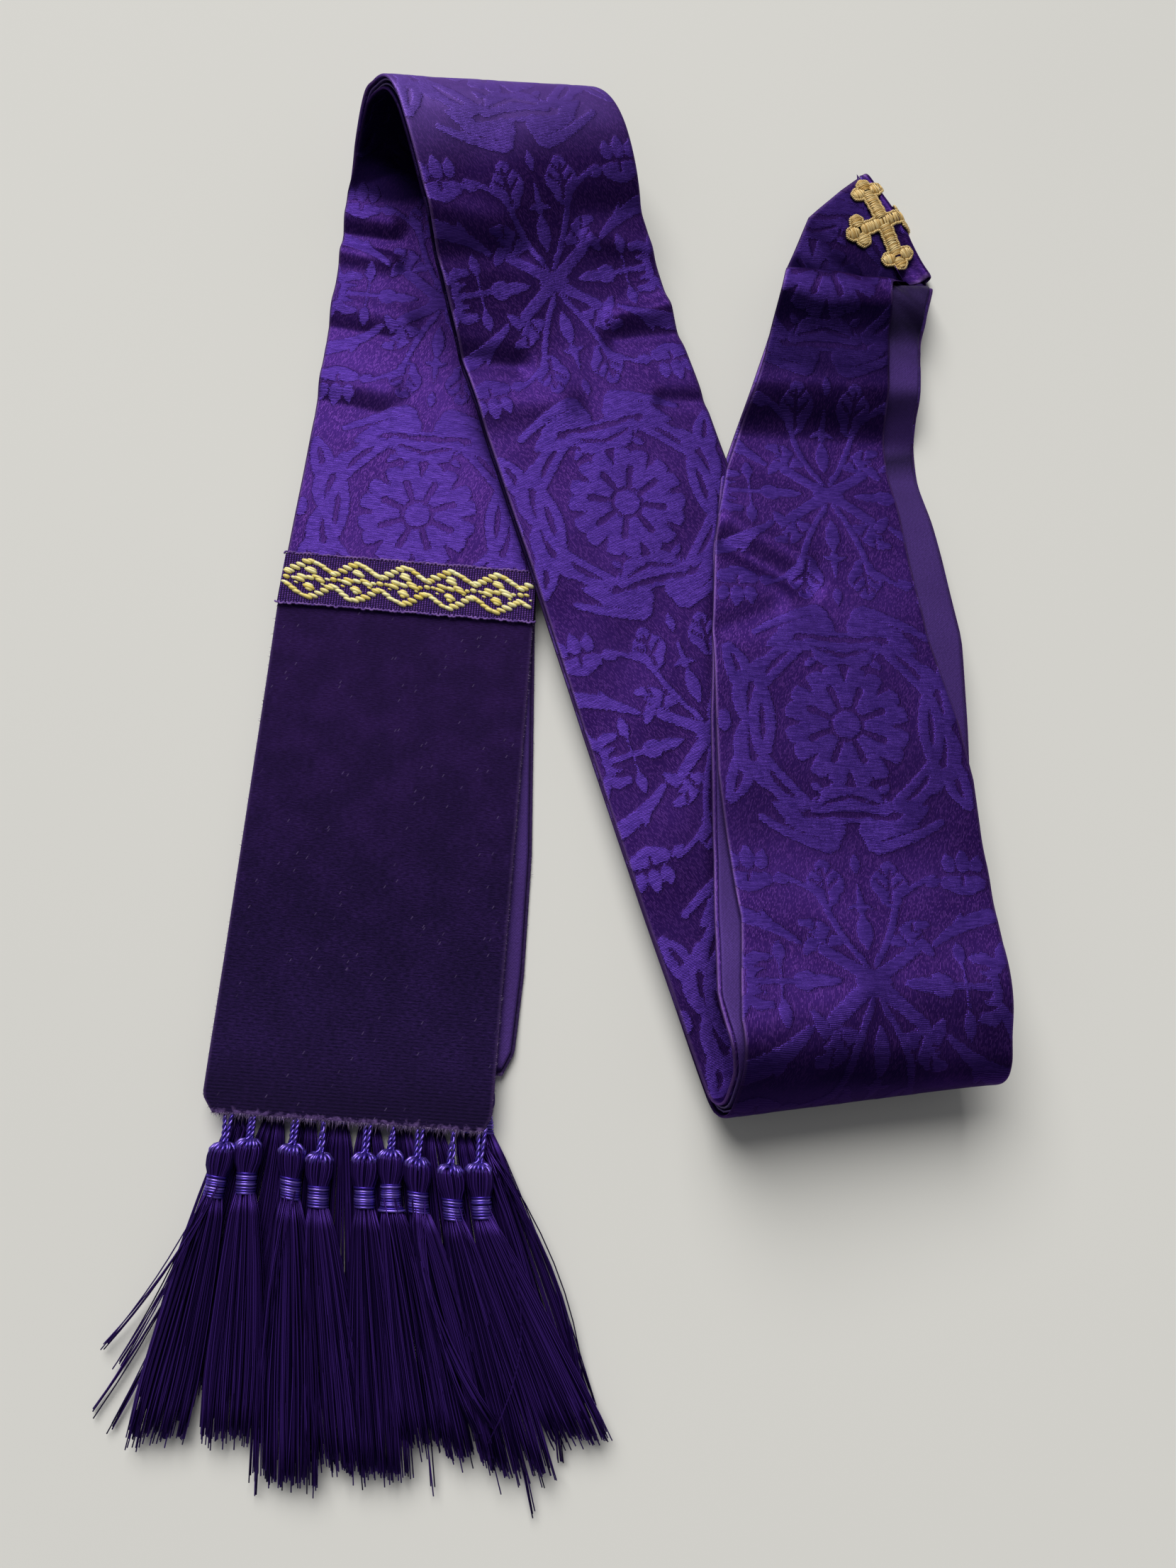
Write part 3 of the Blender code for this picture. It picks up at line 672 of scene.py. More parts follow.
def cells(node, x, y, width, height, lean=0.0):
    """A random number for each cell of a thread-sized grid, with columns that lean."""
    column = node("Math FLOOR", (node("Math DIVIDE", (node("Math MULTIPLY_ADD", (y, -lean, x)), width)),))
    shift = node("TexWhiteNoise 1D", {"W": column})
    row = node("Math FLOOR", (node("Math ADD", (node("Math DIVIDE", (y, height)), shift)),))
    return node("TexWhiteNoise 2D", (node("CombineXYZ", (column, row)),))


def ribs(node, place_of, spacing):
    """A wave from -1 to 1 that comes again after each spacing."""
    return node("Math SINE", (node("Math MULTIPLY", (place_of, 2 * math.pi / spacing)),))


def washed(node, colour, tint, place_of, *limits):
    """The colour taken smoothly towards a tint from the first limit of a value to the second; two
    more limits say how much of the tint there is at each."""
    return node("MixRGB", (node("MapRange SMOOTHSTEP", (place_of, *limits)), colour, linear(tint)))


# A silk damask: the floats give the figure a blue, even gleam that breaks at their ends, and the
# twill ground is redder, darker and speckled. A highlight is painted where half B's face crests
# over the loop, and shade is painted nearly black where the cloth turns from the light.
damask, node = new_material("silk damask")
flat, x, y = flat_cut(node)
inside = node("Attribute figure", out="Fac")
float_row = node("Math FLOOR", (node("Math DIVIDE", (y, FLOAT)),))
column = node("Math FLOOR", (node("Math DIVIDE", (x, FLOAT_STEP)),))
ends = node("TexWhiteNoise 2D", (node("CombineXYZ", (column, float_row)),))
ragged = node("Math MULTIPLY_ADD", (ends, 0.7, node("Math SUBTRACT", (inside, 0.35))))
is_figure = node("MapRange SMOOTHSTEP", (ragged, -0.12, 0.12))
twist = node("TexNoise", {"Vector": flat, "Scale": 0.35, "Detail": 2.0})
line = ribs(node, node("Math MULTIPLY_ADD", (twist, 0.8, y)), FLOAT)
breaks = cells(node, y, x, FLOAT, FLOAT_LENGTH)
twill = cells(node, x, y, *TWILL_SPECK, TWILL_LEAN)
stem = ribs(node, node("Math MULTIPLY_ADD", (y, -TWILL_LEAN, x)), FLOAT)
cloudy = node("TexNoise", {"Vector": flat, "Scale": 0.03, "Detail": 3.0})
lit_line = node("MapRange SMOOTHSTEP", (line, -1.0, 1.0, 0.0, 0.5))
float_light = node("Math ADD", (lit_line, node("Math MULTIPLY", (breaks, 0.5))))
float_colour = node("MixRGB", (float_light, linear("#2C1962"), linear("#56399C")))
glint = node("MapRange SMOOTHSTEP", (twill, 0.35, 1.0))
lit_stem = node("MapRange SMOOTHSTEP", (stem, -0.6, 0.9))
ground_light = node("Math MULTIPLY", (glint, lit_stem))
ground_colour = node("MixRGB", (ground_light, linear("#2A1452"), linear("#5C3688")))
# The ground darkens round the figure, hatched with light thread ends: partly the floats' ends, partly
# painted shade under the figure's raised edge.
from_outline = node("Math ABSOLUTE", (node("Math ADD", (ragged, 0.5)),))
near_edge = node("MapRange SMOOTHSTEP", (from_outline, 0.0, 0.75, 1.0, 0.0))
hatch = node("MapRange SMOOTHSTEP", (ribs(node, x, HATCH), -0.2, 0.7))
outline_with_painted_shade = node("MixRGB", (hatch, linear("#16062E"), linear("#482A78")))
ground_colour = node("MixRGB", (node("Math MULTIPLY", (near_edge, 0.9)), ground_colour, outline_with_painted_shade))
silk_colour = node("MixRGB", (is_figure, ground_colour, float_colour))
silk_colour = washed(node, silk_colour, "#44287A", cloudy, 0.3, 0.7, 0.0, 0.22)
from_edge = node("Attribute from_edge", out="Fac")
silk_colour = washed(node, silk_colour, "#6A5088", from_edge, 0.3, 1.4, 0.55, 0.0)
# painted highlight over the loop's crest, then painted shade in the hollows
for stored, amount, tint in (("bloom", 0.45, "#8A6CCC"), ("shade", 0.94, "#070222")):
    how_much = node("Math MULTIPLY", (node("Attribute " + stored, out="Fac"), amount))
    silk_colour = node("MixRGB", (how_much, silk_colour, linear(tint)))
puffed_up = node("MapRange SMOOTHSTEP", (ragged, -0.35, 0.35))
relief = node("Math MULTIPLY", (puffed_up, 0.2))
relief = node("Math MULTIPLY_ADD", (line, node("Math MULTIPLY", (is_figure, 0.035)), relief))
relief = node("Math MULTIPLY_ADD", (twill, node("Math MULTIPLY_ADD", (is_figure, -0.12, 0.14)), relief))
gloss = node("MapRange SMOOTHSTEP", (is_figure, 0.0, 1.0, 0.5, 0.45))
cloth_surface(node, silk_colour, relief, {
    "Roughness": gloss, "Metallic": 0.85, "Specular IOR Level": 0.2, "Specular Tint": linear("#C6A8F0")})


def turnover_rows():
    """Rows of half B's face past the neck's edge: round it and back to the seam."""
    slant = float(slant_at(END))
    bend = math.pi * NECK_BEND
    share = np.linspace(0.0, 1.0, 16)[1:]
    more = np.linspace(0.0, 1.0, 9)[1:]
    rows = []
    for seam, w in ((SEAM_AT_APEX - GAP, APEX), (SEAM_AT_CORNER - GAP, CORNER)):
        past = np.concatenate([bend * share, bend + seam * more])
        rows += [END + past / math.cos(slant), w - past * math.sin(slant)]
    return rows


for half, side, cut, hem in HALVES:
    t = stops(hem + VELVET_LENGTH + GAP, END - FACE_STOPS, FACE_SHOWN[half], fine=1.0, coarse=5.0)
    rows = rows_between(cut, t, least=1.0)
    if half == "b":
        rows = [np.concatenate(pair) for pair in zip(rows, turnover_rows())]
    start = FIGURE_STARTS[half]

    def puffed(s, w, from_edge, sign):
        """The figure's relief, on the outer side only and away from the edges."""
        rise = PUFF * np.clip((figure(w, s, start) + 0.6) / 1.5, 0.0, 1.0)
        return rise * (sign > 0) * np.clip(from_edge / 2.0, 0.0, 1.0)

    face = cloth_shell(f"face_{half}", damask, rows, FRONT, side, columns=94, back_columns=10,
                       rounded_start=False, lift=puffed, shade_column=1 if half == "a" else 0,
                       extra=("figure", lambda s, w: figure(w, s, start)))
    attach(face, "root")
    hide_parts(f"front_{half}")
    size, area = flat_area(cut, hem + VELVET_LENGTH, CUT_END)


# ------------------------------------------------------------------------------
# The velvet ends, sewn over the bottom of each half. Short dark pile; along the cut edges it is
# rubbed open, and its lilac ground threads stand out as a fuzz, most of all at the hem.
VELVET = (1.7, 3.5)           # heights off the middle surface
PILE_ROW = 1.3                # between two rows of the pile
LINT = (0.4, 1.2)             # size of a speck of lint, across and along
HEM_FUZZ = {"a": 1500, "b": 500}    # strands along a hem
SIDE_FUZZ = {"a": 700, "b": 240}    # and along each side


def threads(name, bundles, material):
    """Round threads along paths. Each bundle is paths (threads, points, 3) in metres, radii in
    millimetres that broadcast to (threads, points), and how many sides they have. Each thread
    has a shade of its own."""
    all_points, all_quads, all_caps, all_shades, used = [], [], [], [], 0
    for paths, radii, sides in bundles:
        count, long = paths.shape[:2]
        radii = np.broadcast_to(radii, (count, long)) * MM
        ahead = np.gradient(paths, axis=1)
        ahead /= np.linalg.norm(ahead, axis=2, keepdims=True) + 1e-12
        reference = np.where(np.abs(ahead[:, 0, 2:]) > 0.9, (1.0, 0.0, 0.0), (0.0, 0.0, 1.0))
        beside = np.cross(ahead[:, 0], reference)
        angle = 2 * math.pi * np.arange(sides)[:, None] / sides
        rings = []
        for i in range(long):
            beside = beside - ahead[:, i] * (beside * ahead[:, i]).sum(1, keepdims=True)
            beside = beside / (np.linalg.norm(beside, axis=1, keepdims=True) + 1e-12)
            above = np.cross(beside, ahead[:, i])
            spokes = beside[:, None] * np.cos(angle) + above[:, None] * np.sin(angle)
            rings.append(paths[:, i, None] + spokes * radii[:, i, None, None])
        index = used + np.arange(count * long * sides).reshape(count, long, sides)
        a, b = index[:, :-1], index[:, 1:]
        quads = np.stack([a, b, np.roll(b, -1, 2), np.roll(a, -1, 2)], -1).reshape(-1, 4)
        caps = np.concatenate([index[:, 0], index[:, -1, ::-1]])
        if sides == 4:
            quads, caps = np.concatenate([quads, caps]), np.empty((0, 4), int)
        all_caps += [np.stack([caps[:, 0], caps[:, i], caps[:, i + 1]], -1) for i in range(1, sides - 1)]
        all_quads.append(quads)
        all_points.append(np.stack(rings, 1).reshape(-1, 3))
        all_shades.append(np.repeat(np.random.default_rng(used + 1).random(count), long * sides))
        used += count * long * sides
    quads, caps = np.concatenate(all_quads), np.concatenate(all_caps)
    mesh = bpy.data.meshes.new(name)
    mesh.vertices.add(used)
    mesh.vertices.foreach_set("co", np.concatenate(all_points).astype(np.float32).ravel())
    mesh.loops.add(quads.size + caps.size)
    mesh.loops.foreach_set("vertex_index", np.concatenate([quads.ravel(), caps.ravel()]).astype(np.int32))
    mesh.polygons.add(len(quads) + len(caps))
    starts = np.concatenate([np.arange(len(quads)) * 4, quads.size + np.arange(len(caps)) * 3])
    mesh.polygons.foreach_set("loop_start", starts.astype(np.int32))
    mesh.update(calc_edges=True)
    mesh.validate()
    return dressed(name, mesh, material, {"shade": np.concatenate(all_shades)})


def thread_material(name, dark, light, finish):
    """A finish for threads, each of its own shade between two colours."""
    material, node = new_material(name)
    colour = node("MixRGB", (node("Attribute shade", out="Fac"), linear(dark), linear(light)))
    node("OutputMaterial", (node("BsdfPrincipled", {"Base Color": colour, **finish}),))
    return material


# Velvet: a nearly black purple straight on, with a soft lilac sheen at low angles, and faint rows.
# Its colour is painted lighter up the panel and painted darker at the hem.
velvet_pile, node = new_material("silk velvet")
flat, x, y = flat_cut(node)
brushed = node("TexNoise", {"Vector": flat, "Scale": 0.06, "Detail": 4.0})
tufts = node("TexNoise", {"Vector": flat, "Scale": 0.7, "Detail": 6.0, "Roughness": 0.7})
laid = node("VectorMath MULTIPLY", (flat, (0.4, 1.7, 1.0)))
streaks = node("TexNoise", {"Vector": laid, "Scale": 1.1, "Detail": 5.0, "Roughness": 0.8})
lint = cells(node, x, y, *LINT, 0.5)
lumps = node("TexNoise", {"Vector": flat, "Scale": 0.45, "Detail": 3.0})
worn = node("MapRange SMOOTHSTEP", (node("Attribute from_edge", out="Fac"), 0.2, 1.7, 1.0, 0.0))
from_foot = node("Math MULTIPLY_ADD", (lumps, -7.0, node("Attribute from_end", out="Fac")))
worn_hem = node("MapRange SMOOTHSTEP", (from_foot, -3.2, -1.4, 1.0, 0.0))
worn = node("Math MAXIMUM", (node("Math MULTIPLY", (worn, 0.3)), worn_hem))
# painted light: lighter up the panel, where the pile's sheen shows brighter, and darker at the hem
up_the_panel = node("Math MULTIPLY_ADD", (brushed, 60.0, y))
pile_colour = washed(node, linear("#0E042A"), "#281046", up_the_panel, 60.0, 230.0)
pile_colour = washed(node, pile_colour, "#432872", streaks, 0.38, 0.66, 0.0, 0.55)
pile_colour = washed(node, pile_colour, "#0C0424", brushed, 0.38, 0.66, 0.32, 0.0)
pile_colour = washed(node, pile_colour, "#0A0320", y, 4.0, 26.0, 0.6, 0.0)
pile_colour = washed(node, pile_colour, "#8674A6", lint, 0.9965, 0.999, 0.0, 0.3)
pile_row = node("MapRange SMOOTHSTEP", (ribs(node, y, PILE_ROW), -1.0, 1.0))
towards_hem = node("MapRange SMOOTHSTEP", (y, 15.0, 90.0, 0.12, 0.0))
faint_row = node("Math MULTIPLY", (pile_row, towards_hem))
pile_colour = node("MixRGB", (faint_row, pile_colour, linear("#4A3078")))
rubbed = node("Math MULTIPLY", (worn, node("MapRange SMOOTHSTEP", (tufts, 0.3, 0.6, 0.35, 0.9))))
pile_colour = node("MixRGB", (rubbed, pile_colour, linear("#74599A")))
nap = node("Math MULTIPLY_ADD", (streaks, 0.5, node("Math MULTIPLY", (tufts, 0.3))))
cloth_surface(node, pile_colour, nap, {
    "Roughness": 0.95, "Specular IOR Level": 0.15, "Sheen Weight": 0.3, "Sheen Roughness": 0.4,
    "Sheen Tint": linear("#6A48A0")})

# The fuzz: the velvet's ground threads and pile tufts, dull lilac.
velvet_fuzz = thread_material("frayed velvet threads", "#32204E", "#A088BE", {"Roughness": 0.8})

for half, side, cut, hem in HALVES:
    t = stops(hem, hem + VELVET_LENGTH, ((hem, hem + 4.0),), fine=0.4, coarse=2.5)
    rows = rows_between(cut, t)
    velvet = cloth_shell(f"velvet_{half}_pile", velvet_pile, rows, VELVET, side, columns=50,
                         back_columns=16)
    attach(velvet, "root")
    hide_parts(f"velvet_{half}")
    rng = np.random.default_rng(41 if half == "a" else 42)
    edges = []
    for edge, amount in enumerate((HEM_FUZZ[half], SIDE_FUZZ[half], SIDE_FUZZ[half])):
        if edge == 0:
            root_w = rng.uniform(float(rows[1][0]), float(rows[3][0]), amount)
            root_t = np.full(amount, hem + 0.5)
            reach_w, reach_t = rng.normal(0, 0.5, amount), -rng.gamma(3.0, 0.5, amount)
        else:
            root_t = rng.uniform(hem, hem + VELVET_LENGTH - 6.0, amount)
            outward = -1.0 if edge == 1 else 1.0
            root_w = cut_edges(cut, root_t)[edge - 1] - outward * 0.4
            reach_w, reach_t = outward * rng.gamma(3.0, 0.16, amount), rng.normal(0, 0.35, amount)
        part = np.linspace(0.0, 1.0, 4)
        height = rng.uniform(VELVET[0] + 0.3, VELVET[1] - 0.1, amount)
        bent = rng.normal(0, 0.35, amount)
        w = root_w[:, None] + reach_w[:, None] * part + (bent[:, None] * part ** 2 if edge == 0 else 0.0)
        h = height[:, None] + rng.normal(-0.2, 0.3, amount)[:, None] * part
        path = place(root_t[:, None] + reach_t[:, None] * part, w, side * h)
        edges.append((path, rng.uniform(0.06, 0.15, amount)[:, None] * (1.1 - part), 3))
    fuzz = threads(f"velvet_{half}_fuzz", edges, velvet_fuzz)
    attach(fuzz, "root")
    size, area = flat_area(cut, hem, hem + VELVET_LENGTH)


# ------------------------------------------------------------------------------
# The galloons. A purple braid, ribbed across, covers each velvet panel's upper edge. Gold yarn
# is woven in as floats: a wavy lattice with a small flower in each eye.
GALLOON = (3.8, 4.8)          # heights off the middle surface
GALLOON_FROM = 204.5          # up from the hem
GALLOON_WIDTH = 22.5
BRAID_RIB = 1.1               # between two ribs of the braid, and between two of its rows
BRAID_ROW = 0.8
PROUD = {"a": 4.65, "b": 3.5}     # height of the gold; the lower half's is pressed flat
EYE = 19.6                    # from one flower to the next
FIRST_EYE = -41.0             # across the strip
FLOAT_LEAN = -0.34            # every float slants down to the right
GOLD_FLOATS = (
    # across and up from an eye's middle, length, thickness; each is repeated on the left
    (2.3, 7.5, 4, 1.9), (4.5, 6.2, 4, 1.9), (6.6, 4.8, 4, 1.9), (8.6, 3.5, 3.8, 1.9),
    (2.3, -7.2, 4, 1.9), (4.5, -5.9, 4, 1.9), (6.6, -4.4, 4, 1.9), (8.6, -3.1, 3.8, 1.9),
    (3.3, 1.1, 4.5, 1.9), (4.4, -0.3, 4.6, 1.8), (7.1, 0.2, 2, 1.4), (5.5, -1.8, 1.6, 0.9),
)
MIDDLE_FLOATS = (
    (0, 8.2, 4, 1.9), (0, -7.9, 4, 1.9), (9.8, 2.9, 3.2, 1.7), (9.8, -2.5, 3.2, 1.7),
    (9.8, 0.3, 2.4, 2), (0, 4.8, 3.8, 1.8), (0.2, 3.7, 5, 2), (0, 0.5, 3.4, 1.9), (0, -2.4, 3.6, 1.7),
    (0.1, -3.4, 5, 2), (0, -4.5, 2.6, 1.4),
)
EDGE_LOOPS = 66
EDGE_YARN = 0.42              # its radius

# Braid: a dull purple with ribs along the half's length and finer rows across them.
braid_ground, node = new_material("ribbed braid")
_, x, y = flat_cut(node)
lit_rib = node("MapRange SMOOTHSTEP", (ribs(node, x, BRAID_RIB), -0.9, 0.6))
lit_row = node("MapRange SMOOTHSTEP", (ribs(node, y, BRAID_ROW), -0.9, 0.4))
lit = node("Math MULTIPLY", (lit_rib, lit_row))
patchy = node("MixRGB", (cells(node, x, y, BRAID_RIB, BRAID_ROW), linear("#54309A"), linear("#8456BE")))
braid_colour = node("MixRGB", (lit, linear("#1C0838"), patchy))
cloth_surface(node, braid_colour, node("Math MULTIPLY", (lit, 0.28)), {
    "Roughness": 0.7, "Specular IOR Level": 0.1})

# Gold yarn of the braid: yellow, half bright, each float of its own shade.
braid_gold = thread_material("gold galloon yarn", "#EED868", "#FFFAC0",
                             {"Roughness": 0.5, "Metallic": 0.1})

# Purple yarn along the braid's two edges.
braid_edge = thread_material("braid edge yarn", "#4A2880", "#8A64B8", {"Roughness": 0.75})

for half, side, cut, hem in HALVES:
    foot, top = hem + GALLOON_FROM, hem + GALLOON_FROM + GALLOON_WIDTH
    rows = rows_between(cut, stops(foot, top, (), fine=0.8, coarse=0.8))
    ground = cloth_shell(f"galloon_{half}_braid", braid_ground, rows, GALLOON, side, columns=110,
                         back_columns=20, soft=0.5)
    rng = np.random.default_rng(51 if half == "a" else 52)
    floats = []
    for eye in range(-1, 7):
        for x0, y0, length, thick in GOLD_FLOATS + MIDDLE_FLOATS:
            for mirror in (1, -1) if (x0, y0, length, thick) in GOLD_FLOATS else (1,):
                floats.append((FIRST_EYE + EYE * eye + mirror * x0, y0, length, thick))
    floats = np.array(floats)
    floats += rng.normal(0, (0.12, 0.12, 0.25, 0.1), (len(floats), 4))
    part = np.linspace(-0.5, 0.5, 9)
    rise = np.sqrt(np.clip(1 - (2.0 * part) ** 2, 0.02, 1.0))
    w = floats[:, :1] + floats[:, 2:3] * part
    t = foot + GALLOON_WIDTH / 2 + floats[:, 1:2] + floats[:, 2:3] * FLOAT_LEAN * part
    left, right = (edge.reshape(t.shape) for edge in cut_edges(cut, t.ravel()))
    inside = (w > left - 0.4).all(1) & (w < right + 0.4).all(1)
    height = PROUD[half] + 0.3 * rise + rng.normal(0, 0.08, (len(floats), 1))
    path = place(t, w, side * height)[inside]
    radius = (floats[:, 3:4] * 0.5 * (0.35 + 0.65 * rise))[inside]
    gold_work = threads(f"galloon_{half}_gold", [(path, radius, 6)], braid_gold)
    edges = []
    for edge_t, inward in ((foot, 1.0), (top, -1.0)):
        w0, w1 = (edge[0] for edge in cut_edges(cut, np.array([edge_t])))
        at = np.linspace(w0 + 0.4, w1 - 0.4, EDGE_LOOPS)[:, None] + rng.normal(0, 0.08, (EDGE_LOOPS, 1))
        round_loop = np.linspace(0, math.pi, 7)
        reach = rng.uniform(0.5, 1.2, (EDGE_LOOPS, 1)) * np.sin(round_loop)
        h = side * (PROUD[half] - 0.05 + 0.35 * np.sin(round_loop))
        path = place(edge_t + inward * (0.7 - reach), at - np.cos(round_loop), h)
        edges.append((path, EDGE_YARN, 5))
    edging = threads(f"galloon_{half}_edging", edges, braid_edge)
    for piece in (ground, gold_work, edging):
        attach(piece, "root")
    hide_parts(f"galloon_{half}")
    size, area = flat_area(cut, foot, top)


# ------------------------------------------------------------------------------
# The cross. Embroidered with gold thread over the seam at the back of the neck: satin stitches
# lie across its arms and its lobes, and a rope of the same thread is couched round its outline.
CLOTH_TOP = 3.2               # height of the cloth that it is sewn to
CROSS_AT = (1349.0, 32.5)     # from half A's hem, and across the strip
CROSS_TILT = 24.0             # degrees off the strip
ARM = 23.5                    # from its middle to the ends of its upright
SIDE_ARM = 18.0               # and of its bar
ARM_HALF = 2.9                # half an arm's width
LOBE = 3.1                    # radius of each of the three lobes at an arm's end
LOBE_AWAY = 4.3
LOBES_BACK = 5.8              # from the arm's end to the middle of its lobes
BUD_SWEEP = 140.0             # degrees that the outline turns round the lobes, to each side
STITCH = 0.5                  # between two satin stitches
STITCH_RADIUS = 0.31
ROPE_TURN = 1.7               # length of one turn of the rope
ROPE_RADIUS = 0.36            # of each of its two plies

# Gold thread: a warm, half metallic yarn, paler where it turns to the light.
gold_thread = thread_material("gold embroidery thread", "#C89E50", "#F2DCA4",
                              {"Roughness": 0.45, "Metallic": 0.25})


def on_cross(x, y, h):
    """Points of the cross, x along its bar and y up its upright, laid over the cloth."""
    lean = math.radians(90 + CROSS_TILT)
    s = CROSS_AT[0] - x * math.cos(lean) + y * math.sin(lean)
    w = CROSS_AT[1] + x * math.sin(lean) + y * math.cos(lean)
    t = s.copy()
    for _ in range(60):
        t += 0.5 * (s - w * np.tan(slant_at(t)) - t)
    return place(t, w, h)


def lobes(reach):
    """Middles of an arm's three lobes, and the way that each faces in degrees."""
    across = reach - LOBES_BACK - 0.7
    return (reach - LOBE, 0.0, 0.0), (across, -LOBE_AWAY, -90.0), (across, LOBE_AWAY, 90.0)


def bud_edge(reach, steps=60):
    """The outer edge of the lobes at an arm's end."""
    middle = reach - LOBES_BACK
    angle = np.radians(BUD_SWEEP) * np.linspace(-1, 1, steps)
    x, y = np.cos(angle), np.sin(angle)
    reaches = np.zeros(steps)
    for lobe_x, lobe_y, _ in lobes(reach):
        ahead = (lobe_x - middle) * x + lobe_y * y
        missed_by = (lobe_x - middle) * y - lobe_y * x
        far_side = ahead + np.sqrt(np.maximum(LOBE ** 2 - missed_by ** 2, 0))
        reaches = np.where(np.abs(missed_by) < LOBE, np.maximum(reaches, far_side), reaches)
    return middle + reaches * x, reaches * y


rng = np.random.default_rng(61)
stitches, outline = [], []
part = np.linspace(-1.0, 1.0, 9)
for quarter, reach in enumerate((SIDE_ARM, ARM, SIDE_ARM, ARM)):
    turn = math.radians(90 * quarter)
    cosine, sine = math.cos(turn), math.sin(turn)
    along = np.arange(ARM_HALF * 0.7 if quarter % 2 else 0.4, reach - LOBES_BACK - 1.0, STITCH)
    rows = [(along, np.zeros_like(along), ARM_HALF - 0.3, 90.0, 1.0 + 0.25 * (quarter % 2))]
    for lobe_x, lobe_y, facing in lobes(reach):
        off = np.arange(-LOBE + 0.5, LOBE - 0.3, STITCH)
        chord = np.sqrt(LOBE ** 2 - off ** 2) - 0.25
        aim = math.radians(facing)
        x0, y0 = lobe_x + off * math.cos(aim), lobe_y + off * math.sin(aim)
        rows.append((x0, y0, chord, facing + 90.0, 1.15))
    for x0, y0, reach_of, facing, raised in rows:
        aim = np.radians(facing + rng.normal(0, 5.0, len(x0)))[:, None]
        out = (reach_of * rng.uniform(0.92, 1.06, len(x0)))[:, None] * part
        x = x0[:, None] + out * np.cos(aim)
        y = y0[:, None] + out * np.sin(aim)
        h = CLOTH_TOP + 0.15 + raised * np.sqrt(1 - 0.97 * part ** 2) + rng.normal(0, 0.06, (len(x0), 1))
        stitches.append((on_cross(x * cosine - y * sine, x * sine + y * cosine, h), STITCH_RADIUS, 5))
    x, y = bud_edge(reach)
    x, y = np.array([ARM_HALF, *x]), np.array([-ARM_HALF, *y])
    outline.append(np.stack([x * cosine - y * sine, x * sine + y * cosine], -1))
outline = np.concatenate([*outline, outline[0][:1]])
run = np.concatenate([[0.0], np.cumsum(np.hypot(*np.diff(outline, axis=0).T))])
along = np.linspace(0.0, run[-1], 900)
x, y = np.interp(along, run, outline[:, 0]), np.interp(along, run, outline[:, 1])
tangent = np.stack([np.gradient(x), np.gradient(y)], -1)
tangent /= np.linalg.norm(tangent, axis=1, keepdims=True) + 1e-9
for ply in range(2):
    twist = 2 * math.pi * along / ROPE_TURN + math.pi * ply
    out = 0.34 * np.cos(twist) + 0.15 * np.sin(along * 1.9)
    h = CLOTH_TOP + 0.55 + 0.3 * np.sin(twist)
    path = on_cross(x + tangent[:, 1] * out, y - tangent[:, 0] * out, h)
    stitches.append((path[None], ROPE_RADIUS, 5))
cross = threads("cross_stitches", stitches, gold_thread)
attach(cross, "root")
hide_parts("neck_cross")


# ------------------------------------------------------------------------------
# The tassels. Nine of floss silk at each hem, hung on doubled two-ply cords. The floss is
# gathered over the cord into a small head, bound below it and cut at the foot.
TASSELS_A = (
    # head, binding and foot across the hem, how far the foot reaches below it, slack in the cord
    (-43, -44.5, -54, 110, 2.6), (-34, -33, -27, 109, 0.6), (-18, -16.5, -4.5, 121, 1.2),
    (-7.5, -6, 13, 115, 3.4), (9, 11, 27, 117, 2.6), (18.5, 20.5, 43, 106, 0.8),
    (28.5, 31, 61, 109, 2.8), (41, 44, 78, 113, 4.4), (51.5, 54.5, 97, 101, 3),
)
TASSELS_B = (
    # pressed flat under the other half, and drawn up by its weight
    (-38, -39, -52, 97, -5.5), (-26.5, -27, -34, 94, -5.5), (-15, -15, -15, 98, -5.5),
    (-3.5, -3, 3, 96, -5.5), (8, 8.5, 21, 99, -5.5), (19.5, 20.5, 39, 95, -5.5),
    (31, 32.5, 57, 98, -5.5), (42.5, 44.5, 74, 93, -5.5), (49, 52, 88, 90, -5.5),
)
STATIONS = (
    # below its start, half width, half height, drop of its middle to the foot's height
    (0, 1.6, 1.6, 0), (7.2, 1.6, 1.6, 0.02), (8, 3.5, 3.2, 0.05), (9.8, 4.7, 4.2, 0.07),
    (12.6, 5.1, 4.4, 0.12), (15.6, 4.8, 4.1, 0.17), (18.2, 3.7, 3.2, 0.22), (20, 3.2, 2.8, 0.27),
    (26.6, 3.2, 2.8, 0.42), (28.4, 4.6, 3.2, 0.48), (36, 5.9, 3.3, 0.66), (54, 8.2, 3, 0.88),
    (76, 10.4, 2.8, 1), (90, 11.4, 2.5, 1),
)
HEAD_PROFILE = np.array((
    # how a loop of the head runs: below its start, share of the head's width, radius
    (10.2, 0.2, 0.5), (8.9, 0.36, 0.7), (8.2, 0.62, 0.8), (8.4, 0.9, 0.8), (9.6, 1.02, 0.66),
    (11.4, 0.96, 0.3)))
HEAD_LOOPS = 16
HEAD_THREADS = {"a": 42, "b": 22}     # that run down under the loops
HEAD_FROM = 9.2               # where they start, below the tassel's start
HEAD_LENGTH = 11.4
HEAD_THREAD = 0.4             # radii, here and in the next four
CORD_THREAD = 0.5
WRAP_THREAD = 0.54
SKIRT_THREAD = 0.28
STRAY_THREAD = 0.3
CORD = (-2.0, 4.5, 9.5)       # below the tassel's start: its top, where its legs close, its foot
CORD_HALF = 1.6               # half width of the body there
CORD_PLY = 0.42               # from a leg's middle to each of its two plies
CORD_TURN = 3.4               # length of one turn of the plies
BOUND_FROM = 19.6             # the binding's first ring, below the tassel's start
BOUND_LENGTH = 6.8
WRAPS = 8                     # rings in it
SKIRT_FROM = 25.0             # where the skirt's threads start, under the binding
FANS_FROM = 26.0              # where the skirt starts to lean towards its foot
